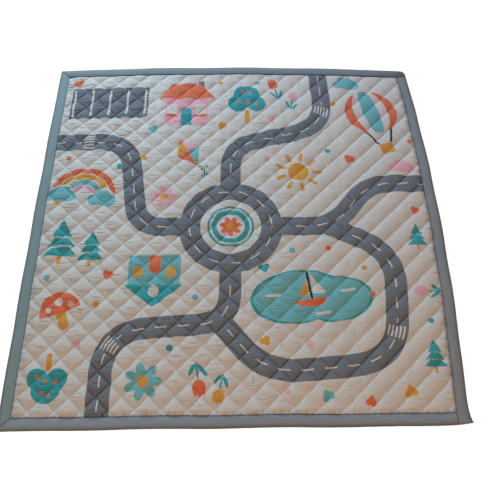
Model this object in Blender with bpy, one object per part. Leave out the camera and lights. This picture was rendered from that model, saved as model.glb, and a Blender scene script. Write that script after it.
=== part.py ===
"""Quilted cotton play blanket, lying flat with its printed side up.

One quilted panel sits in a binding of four cotton strips. The strips meet in a mitre at the two
left corners. At the near right corner the right strip laps over the end of the near one, and at
the far right corner the far strip laps over the end of the right one. Metres, +Z up, +Y towards
the far edge. The origin is on the surface, under the blanket's middle.
"""

import math
from collections import namedtuple

import bmesh
import bpy
from mathutils import Matrix, Vector

# Driving sizes
SIDE = 1.500
BINDING_WIDTH = 0.040
QUILT_SQUARE = 0.060
QUILT_CROSSING = (-0.576, -0.691)
GAP = 0.0003

# Heights of the quilted face above the surface, and how far a square's shoulder is from its stitches
STITCH_HEIGHT = 0.0050
SHOULDER_HEIGHT = 0.0102
CROWN_HEIGHT = 0.0130
SHOULDER_INSET = 0.014
EDGE_EASE = 0.024

# The panel's margin, which the binding closes over, and the binding's cloth
MARGIN_BOTTOM = 0.0015
MARGIN_TOP = 0.0045
MARGIN_INSET = 0.0018
STATIONS = 24
ROUNDED_CORNER = 0.016
FLARE = Vector((0.018, 0.010))
FLARE_REACH = 0.040

HALF = SIDE / 2
FIELD_HALF = HALF - BINDING_WIDTH - GAP
MITRE_GAP = GAP / math.sqrt(2)

# How each edge departs from a straight line: a bow outwards, and a small waver along it
Edge = namedtuple("Edge", "side bow waver wave_length phase")
EDGES = (
    Edge("left", bow=0.006, waver=0.0010, wave_length=0.33, phase=0.4),
    Edge("right", bow=0.036, waver=0.0012, wave_length=0.29, phase=1.9),
    Edge("near", bow=-0.002, waver=0.0012, wave_length=0.41, phase=2.6),
    Edge("far", bow=0.022, waver=0.0010, wave_length=0.37, phase=0.9),
)

# Soft creases across the panel, left where it was folded up
Crease = namedtuple("Crease", "x depth width")
CREASES = (
    Crease(x=-0.320, depth=0.35, width=0.016),
    Crease(x=0.045, depth=0.30, width=0.022),
    Crease(x=0.400, depth=0.35, width=0.018),
)

# The outside of a strip, from its inner lower edge round the fold to its inner upper edge
Point = namedtuple("Point", "inset height")
STRIP_PROFILE = (
    Point(inset=0.0400, height=0.0000),
    Point(inset=0.0030, height=0.0000),
    Point(inset=0.0008, height=0.0010),
    Point(inset=0.0000, height=0.0030),
    Point(inset=0.0010, height=0.0052),
    Point(inset=0.0050, height=0.0068),
    Point(inset=0.0200, height=0.0074),
    Point(inset=0.0340, height=0.0068),
    Point(inset=0.0400, height=0.0060),
)

# The strips, in turn from the near edge. Each is modelled along the near edge, and turned to its own
Strip = namedtuple("Strip", "name start_joint end_joint")
STRIPS = (
    Strip("binding_near", start_joint="mitre", end_joint="under"),
    Strip("binding_right", start_joint="over", end_joint="under"),
    Strip("binding_far", start_joint="over", end_joint="mitre"),
    Strip("binding_left", start_joint="mitre", end_joint="mitre"),
)

FACE_COTTON = (0.80, 0.78, 0.75, 1.0)
BINDING_COTTON = (0.27, 0.34, 0.40, 1.0)


def clear_scene():
    for item in list(bpy.data.objects):
        bpy.data.objects.remove(item, do_unlink=True)


def new_collection(name):
    collection = bpy.data.collections.new(name)
    bpy.context.scene.collection.children.link(collection)
    return collection


def cotton(name, color):
    material = bpy.data.materials.new(name)
    material.use_nodes = True
    shader = material.node_tree.nodes["Principled BSDF"]
    shader.inputs["Base Color"].default_value = color
    shader.inputs["Roughness"].default_value = 0.9
    shader.inputs["Metallic"].default_value = 0.0
    return material


def ease(share):
    share = min(max(share, 0.0), 1.0)
    return share * share * (3 - 2 * share)


def edge_offset(edge, along):
    """How far outwards the edge lies at a place along it, from -HALF to HALF."""
    share = along / HALF
    bow = edge.bow * (1 - share * share)
    waver = edge.waver * math.sin(math.tau * along / edge.wave_length + edge.phase)
    return bow + waver * (1 - share ** 4)


def rounded(x, y):
    """The far right corner's tip, drawn in to an arc: squares about the arc's centre become circles."""
    past_x = x - (HALF - ROUNDED_CORNER)
    past_y = y - (HALF - ROUNDED_CORNER)
    if past_x <= 0 or past_y <= 0:
        return x, y
    pull = max(past_x, past_y) / math.hypot(past_x, past_y)
    return x + past_x * (pull - 1), y + past_y * (pull - 1)


def laid_out(x, y):
    """Where a point of the square blanket comes to lie, with bowed edges and the near right tip pulled out."""
    x, y = rounded(x, y)
    left, right, near, far = EDGES
    to_right = ((1 + x / HALF) / 2) ** 2
    to_left = ((1 - x / HALF) / 2) ** 2
    to_far = ((1 + y / HALF) / 2) ** 2
    to_near = ((1 - y / HALF) / 2) ** 2
    bowed_x = x + edge_offset(right, y) * to_right - edge_offset(left, y) * to_left
    bowed_y = y + edge_offset(far, x) * to_far - edge_offset(near, x) * to_near
    return Vector((bowed_x, bowed_y)) + FLARE * math.exp(-math.hypot(HALF - x, HALF + y) / FLARE_REACH)


def lay_out(mesh):
    for vertex in mesh.verts:
        vertex.co.x, vertex.co.y = laid_out(vertex.co.x, vertex.co.y)


def make_object(name, mesh, material, collection):
    bmesh.ops.recalc_face_normals(mesh, faces=mesh.faces)
    data = bpy.data.meshes.new(name)
    mesh.to_mesh(data)
    mesh.free()
    data.materials.append(material)
    data.shade_smooth()
    data.set_sharp_from_angle(angle=math.radians(50))
    item = bpy.data.objects.new(name, data)
    collection.objects.link(item)
    return item


def stations():
    """Shares of the way along a side where its outline has a point, closer together at the corners."""
    near_corner = [0.0, ROUNDED_CORNER / 2 / SIDE, ROUNDED_CORNER / SIDE]
    middle = [step / STATIONS for step in range(1, STATIONS)]
    far_corner = [1 - share for share in reversed(near_corner)]
    return near_corner + middle + far_corner


def outline_ring(mesh, half, height):
    """A square loop of edges, with a point at each station. Returns its edges in order."""
    corners = ((-half, -half), (half, -half), (half, half), (-half, half))
    points = []
    for start, end in zip(corners, corners[1:] + corners[:1]):
        for share in stations()[:-1]:
            place = Vector(start).lerp(Vector(end), share)
            points.append(mesh.verts.new((place.x, place.y, height)))
    return [mesh.edges.new(pair) for pair in zip(points, points[1:] + points[:1])]


def extruded_ring(mesh, edges, place):
    """Extrudes a loop of edges, and moves each new point to where place puts it."""
    made = bmesh.ops.extrude_edge_only(mesh, edges=edges)["geom"]
    for vertex in (item for item in made if isinstance(item, bmesh.types.BMVert)):
        vertex.co = place(vertex.co)
    return [item for item in made if isinstance(item, bmesh.types.BMEdge) and item.is_boundary]


def dropped_to(height):
    return lambda point: (point.x, point.y, height)


def quilt_squares(mesh):
    """A sheet of quilted squares, turned 45 degrees, each with a shoulder and a crown."""
    count = 2 * math.ceil(SIDE / QUILT_SQUARE / 2 * math.sqrt(2)) + 2
    bmesh.ops.create_grid(mesh, x_segments=count, y_segments=count, size=count * QUILT_SQUARE / 2)
    squares = mesh.faces[:]
    bmesh.ops.inset_individual(mesh, faces=squares, thickness=SHOULDER_INSET)
    for vertex in {corner for square in squares for corner in square.verts}:
        vertex.co.z = SHOULDER_HEIGHT - STITCH_HEIGHT
    bmesh.ops.poke(mesh, faces=squares, offset=CROWN_HEIGHT - SHOULDER_HEIGHT)
    pitch = QUILT_SQUARE * math.sqrt(2)
    offset = [place - pitch * round(place / pitch) for place in QUILT_CROSSING]
    turned = Matrix.Translation((*offset, STITCH_HEIGHT)) @ Matrix.Rotation(math.radians(45), 4, "Z")
    bmesh.ops.transform(mesh, matrix=turned, verts=mesh.verts)


def trim_to_field(mesh):
    for direction in ((1, 0, 0), (-1, 0, 0), (0, 1, 0), (0, -1, 0)):
        bmesh.ops.bisect_plane(
            mesh,
            geom=mesh.verts[:] + mesh.edges[:] + mesh.faces[:],
            plane_co=Vector(direction) * FIELD_HALF,
            plane_no=direction,
            clear_outer=True,
        )


def settle_quilting(mesh):
    """Lowers the squares towards the binding and along the creases, and varies them a little."""
    for vertex in mesh.verts:
        x, y, height = vertex.co
        keep = ease((FIELD_HALF - max(abs(x), abs(y))) / EDGE_EASE)
        for crease in CREASES:
            keep *= 1 - crease.depth * math.exp(-(((x - crease.x) / crease.width) ** 2))
        keep *= 1 + 0.06 * math.sin(11 * x + 1.3) * math.sin(9 * y + 0.4)
        on_border = max(abs(x), abs(y)) > FIELD_HALF - GAP
        vertex.co.z = MARGIN_TOP if on_border else STITCH_HEIGHT + (height - STITCH_HEIGHT) * keep


def quilted_panel(collection):
    """The quilted field, and round it the flat margin that goes into the binding."""
    mesh = bmesh.new()
    quilt_squares(mesh)
    trim_to_field(mesh)
    settle_quilting(mesh)
    field_edges = [edge for edge in mesh.edges if edge.is_boundary]
    margin_half = HALF - MARGIN_INSET
    shrink = FIELD_HALF / margin_half
    ring = outline_ring(mesh, margin_half, MARGIN_TOP)
    bmesh.ops.triangle_fill(mesh, use_beauty=True, edges=field_edges + ring)
    ring = extruded_ring(mesh, ring, dropped_to(MARGIN_BOTTOM))
    ring = extruded_ring(mesh, ring, lambda point: point * Vector((shrink, shrink, 1.0)))
    ring = extruded_ring(mesh, ring, dropped_to(0.0))
    bmesh.ops.contextual_create(mesh, geom=ring)
    lay_out(mesh)
    return make_object("quilted_panel", mesh, cotton("face_cotton", FACE_COTTON), collection)


def margin_clearance(collection):
    """The space that the panel's margin needs inside the strips, as a closed plate."""
    mesh = bmesh.new()
    ring = outline_ring(mesh, HALF - MARGIN_INSET + GAP, MARGIN_TOP + GAP)
    bmesh.ops.contextual_create(mesh, geom=ring)
    ring = extruded_ring(mesh, ring, dropped_to(MARGIN_BOTTOM - GAP))
    bmesh.ops.contextual_create(mesh, geom=ring)
    lay_out(mesh)
    plate = make_object("margin_clearance", mesh, cotton("clearance", FACE_COTTON), collection)
    plate.hide_render = True
    plate.display_type = "WIRE"
    return plate


def stops_short(joint, inset):
    """How far before the blanket's corner a strip ends, at this inset from its outer edge."""
    return {"mitre": inset + MITRE_GAP, "over": 0.0, "under": BINDING_WIDTH + GAP}[joint]


def along_strip(strip, share):
    """Moves a point of the strip's profile to a share of the way along the near edge."""

    def place(point):
        inset = point.y + HALF
        start = -HALF + stops_short(strip.start_joint, inset)
        end = HALF - stops_short(strip.end_joint, inset)
        return (start + (end - start) * share, point.y, point.z)

    return place


def binding_strip(strip, quarter_turns, clearance, material, collection):
    """A solid strip along one edge, hollowed for the panel's margin."""
    mesh = bmesh.new()
    first, *rest = stations()
    place = along_strip(strip, first)
    points = [mesh.verts.new(place(Vector((0, inset - HALF, height)))) for inset, height in STRIP_PROFILE]
    ring = [mesh.edges.new(pair) for pair in zip(points, points[1:] + points[:1])]
    start = list(ring)
    for share in rest:
        ring = extruded_ring(mesh, ring, along_strip(strip, share))
    bmesh.ops.contextual_create(mesh, geom=start)
    bmesh.ops.contextual_create(mesh, geom=ring)
    turn = Matrix.Rotation(quarter_turns * math.pi / 2, 4, "Z")
    bmesh.ops.transform(mesh, matrix=turn, verts=mesh.verts)
    lay_out(mesh)
    item = make_object(strip.name, mesh, material, collection)
    hollow = item.modifiers.new("margin", "BOOLEAN")
    hollow.operation = "DIFFERENCE"
    hollow.solver = "EXACT"
    hollow.object = clearance
    return item


def main():
    clear_scene()
    blanket = new_collection("play_blanket")
    cutters = new_collection("cutters")
    quilted_panel(blanket)
    clearance = margin_clearance(cutters)
    material = cotton("binding_cotton", BINDING_COTTON)
    for quarter_turns, strip in enumerate(STRIPS):
        binding_strip(strip, quarter_turns, clearance, material, blanket)


main()
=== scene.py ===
"""The finish of a quilted play blanket: its quilted and printed cotton pad, the binding and its stitches.

Metres, +Z up, +Y towards the far edge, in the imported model's frame. The cloth is worked out square
and flat, and laid_out() then brings each point to where the blanket lies, with its bowed edges.
"""

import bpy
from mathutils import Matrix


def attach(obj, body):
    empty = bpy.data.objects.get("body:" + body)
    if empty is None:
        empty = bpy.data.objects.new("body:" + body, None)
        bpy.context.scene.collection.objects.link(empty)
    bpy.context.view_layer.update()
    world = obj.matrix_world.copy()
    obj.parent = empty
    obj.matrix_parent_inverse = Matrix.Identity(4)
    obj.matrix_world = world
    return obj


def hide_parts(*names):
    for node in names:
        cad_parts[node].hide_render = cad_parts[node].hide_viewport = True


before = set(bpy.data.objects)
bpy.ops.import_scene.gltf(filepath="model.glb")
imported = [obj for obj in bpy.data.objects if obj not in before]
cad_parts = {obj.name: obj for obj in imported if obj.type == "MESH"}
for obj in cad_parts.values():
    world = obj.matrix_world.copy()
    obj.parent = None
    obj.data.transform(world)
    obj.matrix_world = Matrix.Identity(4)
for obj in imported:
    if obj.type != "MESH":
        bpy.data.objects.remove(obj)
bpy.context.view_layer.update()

import math
from collections import namedtuple
from functools import reduce

import bmesh
import bpy
import numpy as np
from bpy.props import FloatProperty, FloatVectorProperty, PointerProperty
from mathutils import Matrix, Vector

bl_info = {
    "name": "Quilted Play Blanket",
    "version": (1, 0, 0),
    "blender": (4, 5, 0),
    "location": "View3D > Sidebar > Play Blanket",
    "description": "Builds the quilted pad, the print, the binding and the stitches of a play blanket",
    "category": "Add Mesh",
}

# Sizes of the cloth when it is square and flat, the same as in the solids
SIDE = 1.500
HALF = SIDE / 2
BINDING_WIDTH = 0.040
GAP = 0.0003
FIELD_HALF = HALF - BINDING_WIDTH - GAP
QUILT_SQUARE = 0.060
QUILT_CROSSING = (-0.576, -0.691)
QUILT_SCALE = 1 / (math.sqrt(2) * QUILT_SQUARE)
HALF_DIAGONAL = QUILT_SQUARE / math.sqrt(2)
STITCH_HEIGHT = 0.0050
MARGIN_BOTTOM = 0.0015
MARGIN_TOP = 0.0045
MARGIN_MIDDLE = (MARGIN_TOP + MARGIN_BOTTOM) / 2
MARGIN_INSET = 0.0018
ROUNDED_CORNER = 0.016
FLARE = (0.018, 0.010)
FLARE_REACH = 0.040

Edge = namedtuple("Edge", "side bow waver wave_length phase")
EDGES = (
    Edge("left", bow=0.006, waver=0.0010, wave_length=0.33, phase=0.4),
    Edge("right", bow=0.036, waver=0.0012, wave_length=0.29, phase=1.9),
    Edge("near", bow=-0.002, waver=0.0012, wave_length=0.41, phase=2.6),
    Edge("far", bow=0.022, waver=0.0010, wave_length=0.37, phase=0.9),
)

# Soft upright creases, left where the blanket was folded up
Crease = namedtuple("Crease", "x depth width")
CREASES = (
    Crease(x=-0.320, depth=0.30, width=0.016),
    Crease(x=0.045, depth=0.26, width=0.022),
    Crease(x=0.400, depth=0.30, width=0.018),
)


def ease(share):
    """A soft start and a soft stop between 0 and 1."""
    share = np.clip(share, 0.0, 1.0)
    return share * share * (3 - 2 * share)


def edge_offset(edge, along):
    """How far outwards an edge lies at places along it, from -HALF to HALF."""
    share = along / HALF
    bow = edge.bow * (1 - share**2)
    waver = edge.waver * np.sin(math.tau * along / edge.wave_length + edge.phase)
    return bow + waver * (1 - share**4)


def rounded(x, y):
    """The far right tip, drawn in to an arc."""
    past_x = x - (HALF - ROUNDED_CORNER)
    past_y = y - (HALF - ROUNDED_CORNER)
    at_tip = (past_x > 0) & (past_y > 0)
    reach = np.where(at_tip, np.hypot(past_x, past_y), 1.0)
    pull = np.where(at_tip, np.maximum(past_x, past_y) / reach, 1.0) - 1
    return x + past_x * pull, y + past_y * pull


def laid_out(x, y):
    """Where points of the square, flat cloth come to lie."""
    x, y = rounded(x, y)
    left, right, near, far = EDGES
    to_right = ((1 + x / HALF) / 2) ** 2
    to_left = ((1 - x / HALF) / 2) ** 2
    to_far = ((1 + y / HALF) / 2) ** 2
    to_near = ((1 - y / HALF) / 2) ** 2
    flare = np.exp(-np.hypot(HALF - x, HALF + y) / FLARE_REACH)
    laid_x = x + edge_offset(right, y) * to_right - edge_offset(left, y) * to_left + FLARE[0] * flare
    laid_y = y + edge_offset(far, x) * to_far - edge_offset(near, x) * to_near + FLARE[1] * flare
    return laid_x, laid_y


# Arbitrary factors that scatter whole numbers evenly
NOISE_SCATTER = (127.1, 311.7, 74.7, 43758.5453)
SQUARE_SCATTER = (91.7, 47.3, 13.1, 15731.743)


def scattered(column, row, seed, factors):
    """A value from -1 to 1 for each whole column and row, with no pattern, the same each run."""
    value = np.sin(column * factors[0] + row * factors[1] + seed * factors[2]) * factors[3]
    return (value - np.floor(value)) * 2 - 1


def soft_noise(x, y, seed):
    """Smooth noise from -1 to 1, with about one bump for each unit of x and y."""
    column, row = np.floor(x), np.floor(y)
    right, up = ease(x - column), ease(y - row)

    def between(line):
        left_value = scattered(column, line, seed, NOISE_SCATTER)
        return left_value * (1 - right) + scattered(column + 1, line, seed, NOISE_SCATTER) * right

    return between(row) * (1 - up) + between(row + 1) * up


# Noise over the cloth: its strength, the length of its bumps along x and y, and its seed
Bumps = namedtuple("Bumps", "strength along_x along_y seed")


def cloth_noise(x, y, bumps, first_seed=0):
    """The height of one kind of bumps. Several strips share a kind, each with its own first seed."""
    noise_there = soft_noise(x / bumps.along_x, y / bumps.along_y, first_seed + bumps.seed)
    return bumps.strength * noise_there


# The quilting

FINE_DIVISIONS = 12
COARSE_DIVISIONS = 4
SEAM_DETAIL = 0.45
PUFF_STEEPNESS = 2.2
SEAM_SHARPNESS = 0.75
FALLING_SEAMS_LOST = 0.62
# By what share squares lean and differ in fullness, and how much fuller those at the left are
SQUARE_LEAN = 0.10
SQUARE_FULLNESS = 0.13
LEFT_FULLNESS = 0.12
FULLER_FROM = 0.25
FULLER_REACH = 0.6

# Small gathers along each line of stitches, and how far apart two lines lie in their noise
PUCKER_LENGTH = 0.013
PUCKER_REACH = 0.0055
PUCKER_LINE_STEP = 7.3

# Wrinkles, in shares of the pucker height
LEVEL_WAVES = Bumps(0.8, 0.050, 0.013, 5)
FOLD_LINES = Bumps(1.0, 0.046, 0.016, 9)
FOLD_WANDER = Bumps(0.25, 0.015, 0.010, 10)
FOLD_CLUSTERS = Bumps(0.9, 0.050, 0.035, 11)
SLANTING_DRAG = Bumps(1.3, 0.045, 0.016, 12)
CREASE_GATHERS = Bumps(1.1, 0.010, 0.035, 7)
CREASE_WANDER = Bumps(0.004, 0.11, math.inf, 6)
FOLD_SHARE = 1.5
FOLD_HALF_WIDTH = 0.34

# Where the binding holds the cloth: its gathers, and how far in it is drawn down
GATHER_LENGTH = 0.017
GATHER_REACH = 0.007
GATHER_SEED = 8
EASE_IN_SHARPNESS = 0.8
FACE_EASE_IN = 0.018
BACK_EASE_IN = 0.012
BACK_CROWN = 0.004
BACK_PUCKER = 0.0002
TRIM_TOLERANCE = 1e-5

# The shade painted on the cloth in the seam beside the near, right, far and left strips: how dark it is,
# and how far it reaches
CLOTH_SEAM_SHADES = (0.45, 0.72, 0.22, 0.30)
CLOTH_SEAM_SHADE_WIDTHS = (0.0030, 0.0100, 0.0016, 0.0016)
LEFT_SEAM_SHADE_SHIFT = 0.0009
# Painted light: the cloth is painted a little cooler in tone beside the near strip, standing in for cooler
# light there
COOL_LIGHT_REACH = 0.020
COOL_LIGHT_TINT = (1.00, 1.11, 1.24)


def quilt_place(x, y):
    """The place among the quilting squares: whole numbers are lines of stitches."""
    turned_x = (x - QUILT_CROSSING[0]) + (y - QUILT_CROSSING[1])
    turned_y = (y - QUILT_CROSSING[1]) - (x - QUILT_CROSSING[0])
    return turned_x * QUILT_SCALE, turned_y * QUILT_SCALE


def puff(share):
    """The rise of the cloth from a line of stitches, at 0, to the middle of a square, at 1."""
    return 1 - (1 - share) ** PUFF_STEEPNESS


def rise_from(distance, reach):
    """A bump that starts at nothing at a seam, peaks at its reach and dies out beyond."""
    return distance / reach * np.exp(1 - distance / reach)


def square_variation(column, row, seed):
    """How much one square differs from the others, from -1 to 1."""
    return scattered(column, row, seed, SQUARE_SCATTER)


def puckers(distance, along, line, strength, seed):
    """Small gathers that a line of stitches draws into the cloth beside it."""
    gathers = soft_noise(along / PUCKER_LENGTH, line * PUCKER_LINE_STEP, seed)
    return strength * gathers * rise_from(distance, PUCKER_REACH)


def wrinkles(x, y, strength):
    """Level waves in the slack cloth, and a few sharper folds among them."""
    place = cloth_noise(x, y, FOLD_LINES) + cloth_noise(x, y, FOLD_WANDER)
    sharp = np.clip(1 - np.abs(place) / FOLD_HALF_WIDTH, 0, 1)
    shown = ease(0.5 + cloth_noise(x, y, FOLD_CLUSTERS))
    return strength * (cloth_noise(x, y, LEVEL_WAVES) - FOLD_SHARE * sharp * shown)


def quilted_relief(x, y, crown, pucker):
    """Height of the quilted cloth over its stitches."""
    across, up = quilt_place(x, y)
    column, row = np.floor(across), np.floor(up)
    side_x, side_y = across - column, up - row
    lean = SQUARE_LEAN * square_variation(column, row, seed=1)
    side_x = side_x + lean * np.sin(math.pi * side_x) / math.pi
    from_x = np.minimum(side_x, 1 - side_x) * 2
    from_y = np.minimum(side_y, 1 - side_y) * 2
    to_right = ease(x / FIELD_HALF)
    falling_valley = (1 - puff(from_x) ** SEAM_SHARPNESS) * (1 - FALLING_SEAMS_LOST * to_right)
    height = crown * (1 - falling_valley) * puff(from_y) ** SEAM_SHARPNESS
    at_left = 1 + LEFT_FULLNESS * ease((FULLER_FROM - x) / FULLER_REACH)
    height *= (1 + SQUARE_FULLNESS * square_variation(column, row, seed=2)) * at_left

    line_x, line_y = np.round(across), np.round(up)
    beside_x = np.abs(across - line_x) * QUILT_SQUARE
    beside_y = np.abs(up - line_y) * QUILT_SQUARE
    along_x, along_y = across * QUILT_SQUARE, up * QUILT_SQUARE
    height += puckers(beside_x, along_y, line_x + 0.5, pucker, seed=3)
    height += puckers(beside_y, along_x, line_y + 0.5, pucker, seed=4)
    held_down = np.sqrt(np.clip(from_x * from_y, 0, 1))
    height += wrinkles(x, y, pucker) * held_down
    height += pucker * cloth_noise(along_x, along_y, SLANTING_DRAG) * to_right * held_down
    for crease in CREASES:
        beside = (x - crease.x - cloth_noise(y, x, CREASE_WANDER)) / crease.width
        height *= 1 - crease.depth * np.exp(-(beside**2))
        height += pucker * cloth_noise(x, y, CREASE_GATHERS) * np.exp(-(beside**2) / 2)
    return height


def settled(x, y, crown, pucker, ease_in):
    """The quilted relief, drawn down and gathered where the binding holds the cloth."""
    beside_x = FIELD_HALF - np.abs(x)
    beside_y = FIELD_HALF - np.abs(y)
    beside = np.clip(np.minimum(beside_x, beside_y), 0, None)
    along = np.where(beside_x < beside_y, y, x)
    gathers = pucker * soft_noise(along / GATHER_LENGTH, beside * 0 + 0.5, GATHER_SEED)
    gathers *= rise_from(beside, GATHER_REACH) * (beside > 0)
    keep = puff(np.clip(beside / ease_in, 0, 1)) ** EASE_IN_SHARPNESS
    return quilted_relief(x, y, crown, pucker) * keep + gathers + (STITCH_HEIGHT - MARGIN_TOP) * keep


def pad_points(flat_x, flat_y, level, sizes):
    """The laid out points of the pad, from flat ones at their level: high for the face, low below."""
    top = settled(flat_x, flat_y, sizes.crown_height, sizes.pucker_height, FACE_EASE_IN)
    below = settled(flat_x, flat_y, BACK_CROWN, BACK_PUCKER, BACK_EASE_IN)
    low = np.maximum(MARGIN_BOTTOM - below, 0.0)
    inside = np.maximum(np.abs(flat_x), np.abs(flat_y)) < FIELD_HALF - TRIM_TOLERANCE
    height = np.where(level > MARGIN_MIDDLE, MARGIN_TOP + top, low)
    height = np.where(inside, height, level)
    x, y = laid_out(flat_x, flat_y)
    return np.stack([x, y, height], axis=1)


def lattice_sheet(mesh, divisions, level):
    """Adds a flat sheet, divided along the quilting squares and trimmed to the binding."""
    count = 2 * math.ceil(SIDE / QUILT_SQUARE / 2 * math.sqrt(2)) + 2
    before = set(mesh.verts)
    segments = count * divisions
    bmesh.ops.create_grid(mesh, x_segments=segments, y_segments=segments, size=count * QUILT_SQUARE / 2)
    points = [vertex for vertex in mesh.verts if vertex not in before]
    pitch = QUILT_SQUARE * math.sqrt(2)
    offset = [place - pitch * round(place / pitch) for place in QUILT_CROSSING]
    turned = Matrix.Translation((*offset, level)) @ Matrix.Rotation(math.radians(45), 4, "Z")
    for vertex in points:
        for axis in (0, 1):
            turn = math.tau * vertex.co[axis] / QUILT_SQUARE
            vertex.co[axis] -= SEAM_DETAIL * QUILT_SQUARE * math.sin(turn) / math.tau
    bmesh.ops.transform(mesh, matrix=turned, verts=points)
    for direction in ((1, 0, 0), (-1, 0, 0), (0, 1, 0), (0, -1, 0)):
        points = [vertex for vertex in mesh.verts if vertex not in before]
        edges = {edge for vertex in points for edge in vertex.link_edges}
        faces = {face for vertex in points for face in vertex.link_faces}
        bmesh.ops.bisect_plane(
            mesh,
            geom=points + list(edges) + list(faces),
            plane_co=Vector(direction) * FIELD_HALF,
            plane_no=direction,
            clear_outer=True,
        )
    return [edge for edge in mesh.edges if edge.is_boundary and edge.verts[0] not in before]


def outline_ring(mesh, half, level, count=48):
    """A square loop of edges round the cloth."""
    corners = [Vector(corner) for corner in ((-half, -half), (half, -half), (half, half), (-half, half))]
    points = []
    for start, end in zip(corners, corners[1:] + corners[:1]):
        for step in range(count):
            place = start.lerp(end, step / count)
            points.append(mesh.verts.new((place.x, place.y, level)))
    return [mesh.edges.new(pair) for pair in zip(points, points[1:] + points[:1])]


def flat_pad():
    """The pad as a closed, flat form: a finely divided face, a margin and a coarser back."""
    mesh = bmesh.new()
    face_edges = lattice_sheet(mesh, FINE_DIVISIONS, MARGIN_TOP)
    back_edges = lattice_sheet(mesh, COARSE_DIVISIONS, MARGIN_BOTTOM)
    upper = outline_ring(mesh, HALF - MARGIN_INSET, MARGIN_TOP)
    lower = outline_ring(mesh, HALF - MARGIN_INSET, MARGIN_BOTTOM)
    bmesh.ops.triangle_fill(mesh, use_beauty=True, edges=face_edges + upper)
    bmesh.ops.triangle_fill(mesh, use_beauty=True, edges=back_edges + lower)
    bmesh.ops.bridge_loops(mesh, edges=upper + lower)
    bmesh.ops.recalc_face_normals(mesh, faces=mesh.faces)
    return mesh


# The print: roads and simple pictures, as distances to the edge of each ink, below zero where it is

FAR_AWAY = 1.0
ROAD_WIDTH = 0.077
DASH_PITCH = 0.077
DASH_LENGTH = 0.040
DASH_WIDTH = 0.0047
CROSSING_LENGTH = 0.042
CROSSING_BAR = 0.0125
ROAD_FRINGE = 0.006
NO_LANE = 9.0
INKS = ("slate", "teal", "sky", "pink", "red", "mustard", "navy")

Road = namedtuple("Road", "name corners bend first_dash last_dash")
ROUNDABOUT = (-0.02, -0.03)
ROUNDABOUT_RADIUS = 0.150
ROADS = (
    Road("west", ((-0.80, 0.36), (-0.42, 0.36), (-0.36, -0.03), (-0.17, -0.03)), 0.12, 0.00, 0.05),
    Road("north", ((-0.02, 0.12), (-0.02, 0.33), (0.36, 0.43), (0.36, 0.80)), 0.13, 0.05, 0.00),
    Road("east", ((0.13, -0.03), (0.36, -0.03), (0.50, 0.16), (0.80, 0.16)), 0.10, 0.05, 0.00),
    Road("south", ((-0.02, -0.18), (-0.02, -0.40), (-0.44, -0.43), (-0.44, -0.80)), 0.14, 0.05, 0.00),
    Road(
        "crescent",
        ((0.34, -0.03), (0.56, -0.14), (0.54, -0.54), (0.10, -0.58), (-0.06, -0.39)),
        0.15,
        0.05,
        0.05,
    ),
)

Crossing = namedtuple("Crossing", "road along")
CROSSINGS = (
    Crossing("west", 0.22),
    Crossing("north", 0.62),
    Crossing("crescent", 0.52),
    Crossing("south", 0.60),
)


def bent_route(corners, bend, steps=14):
    """Points along a line through the corners, with each corner rounded off."""
    corners = [Vector(corner) for corner in corners]
    points = [corners[0]]
    for before, corner, after in zip(corners, corners[1:], corners[2:]):
        room = min(bend, (corner - before).length * 0.49, (after - corner).length * 0.49)
        start = corner + (before - corner).normalized() * room
        end = corner + (after - corner).normalized() * room
        for step in range(steps + 1):
            share = step / steps
            points.append(start.lerp(corner, share).lerp(corner.lerp(end, share), share))
    return points + [corners[-1]]


def circle_route(centre, radius, steps=64):
    centre = Vector(centre)
    turns = [math.tau * step / steps for step in range(steps + 1)]
    return [centre + radius * Vector((math.cos(turn), math.sin(turn))) for turn in turns]


def segment_places(x, y, start, end):
    """For each point, its distance from a segment, its place along it and its signed side of it."""
    step = end - start
    length = step.length
    ahead = ((x - start.x) * step.x + (y - start.y) * step.y) / length
    across = ((y - start.y) * step.x - (x - start.x) * step.y) / length
    along = np.clip(ahead, 0, length)
    return np.hypot(ahead - along, across), along, across


class Route:
    """How the cloth's points lie along and beside one road."""

    def __init__(self, x, y, points):
        self.distance = np.full(len(x), FAR_AWAY)
        self.along = np.zeros(len(x))
        self.across = np.full(len(x), NO_LANE)
        self.length = 0.0
        for start, end in zip(points, points[1:]):
            distance, along, across = segment_places(x, y, start, end)
            closer = distance < self.distance
            self.distance = np.where(closer, distance, self.distance)
            self.along = np.where(closer, self.length + along, self.along)
            self.across = np.where(closer, across, self.across)
            self.length += (end - start).length


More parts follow.
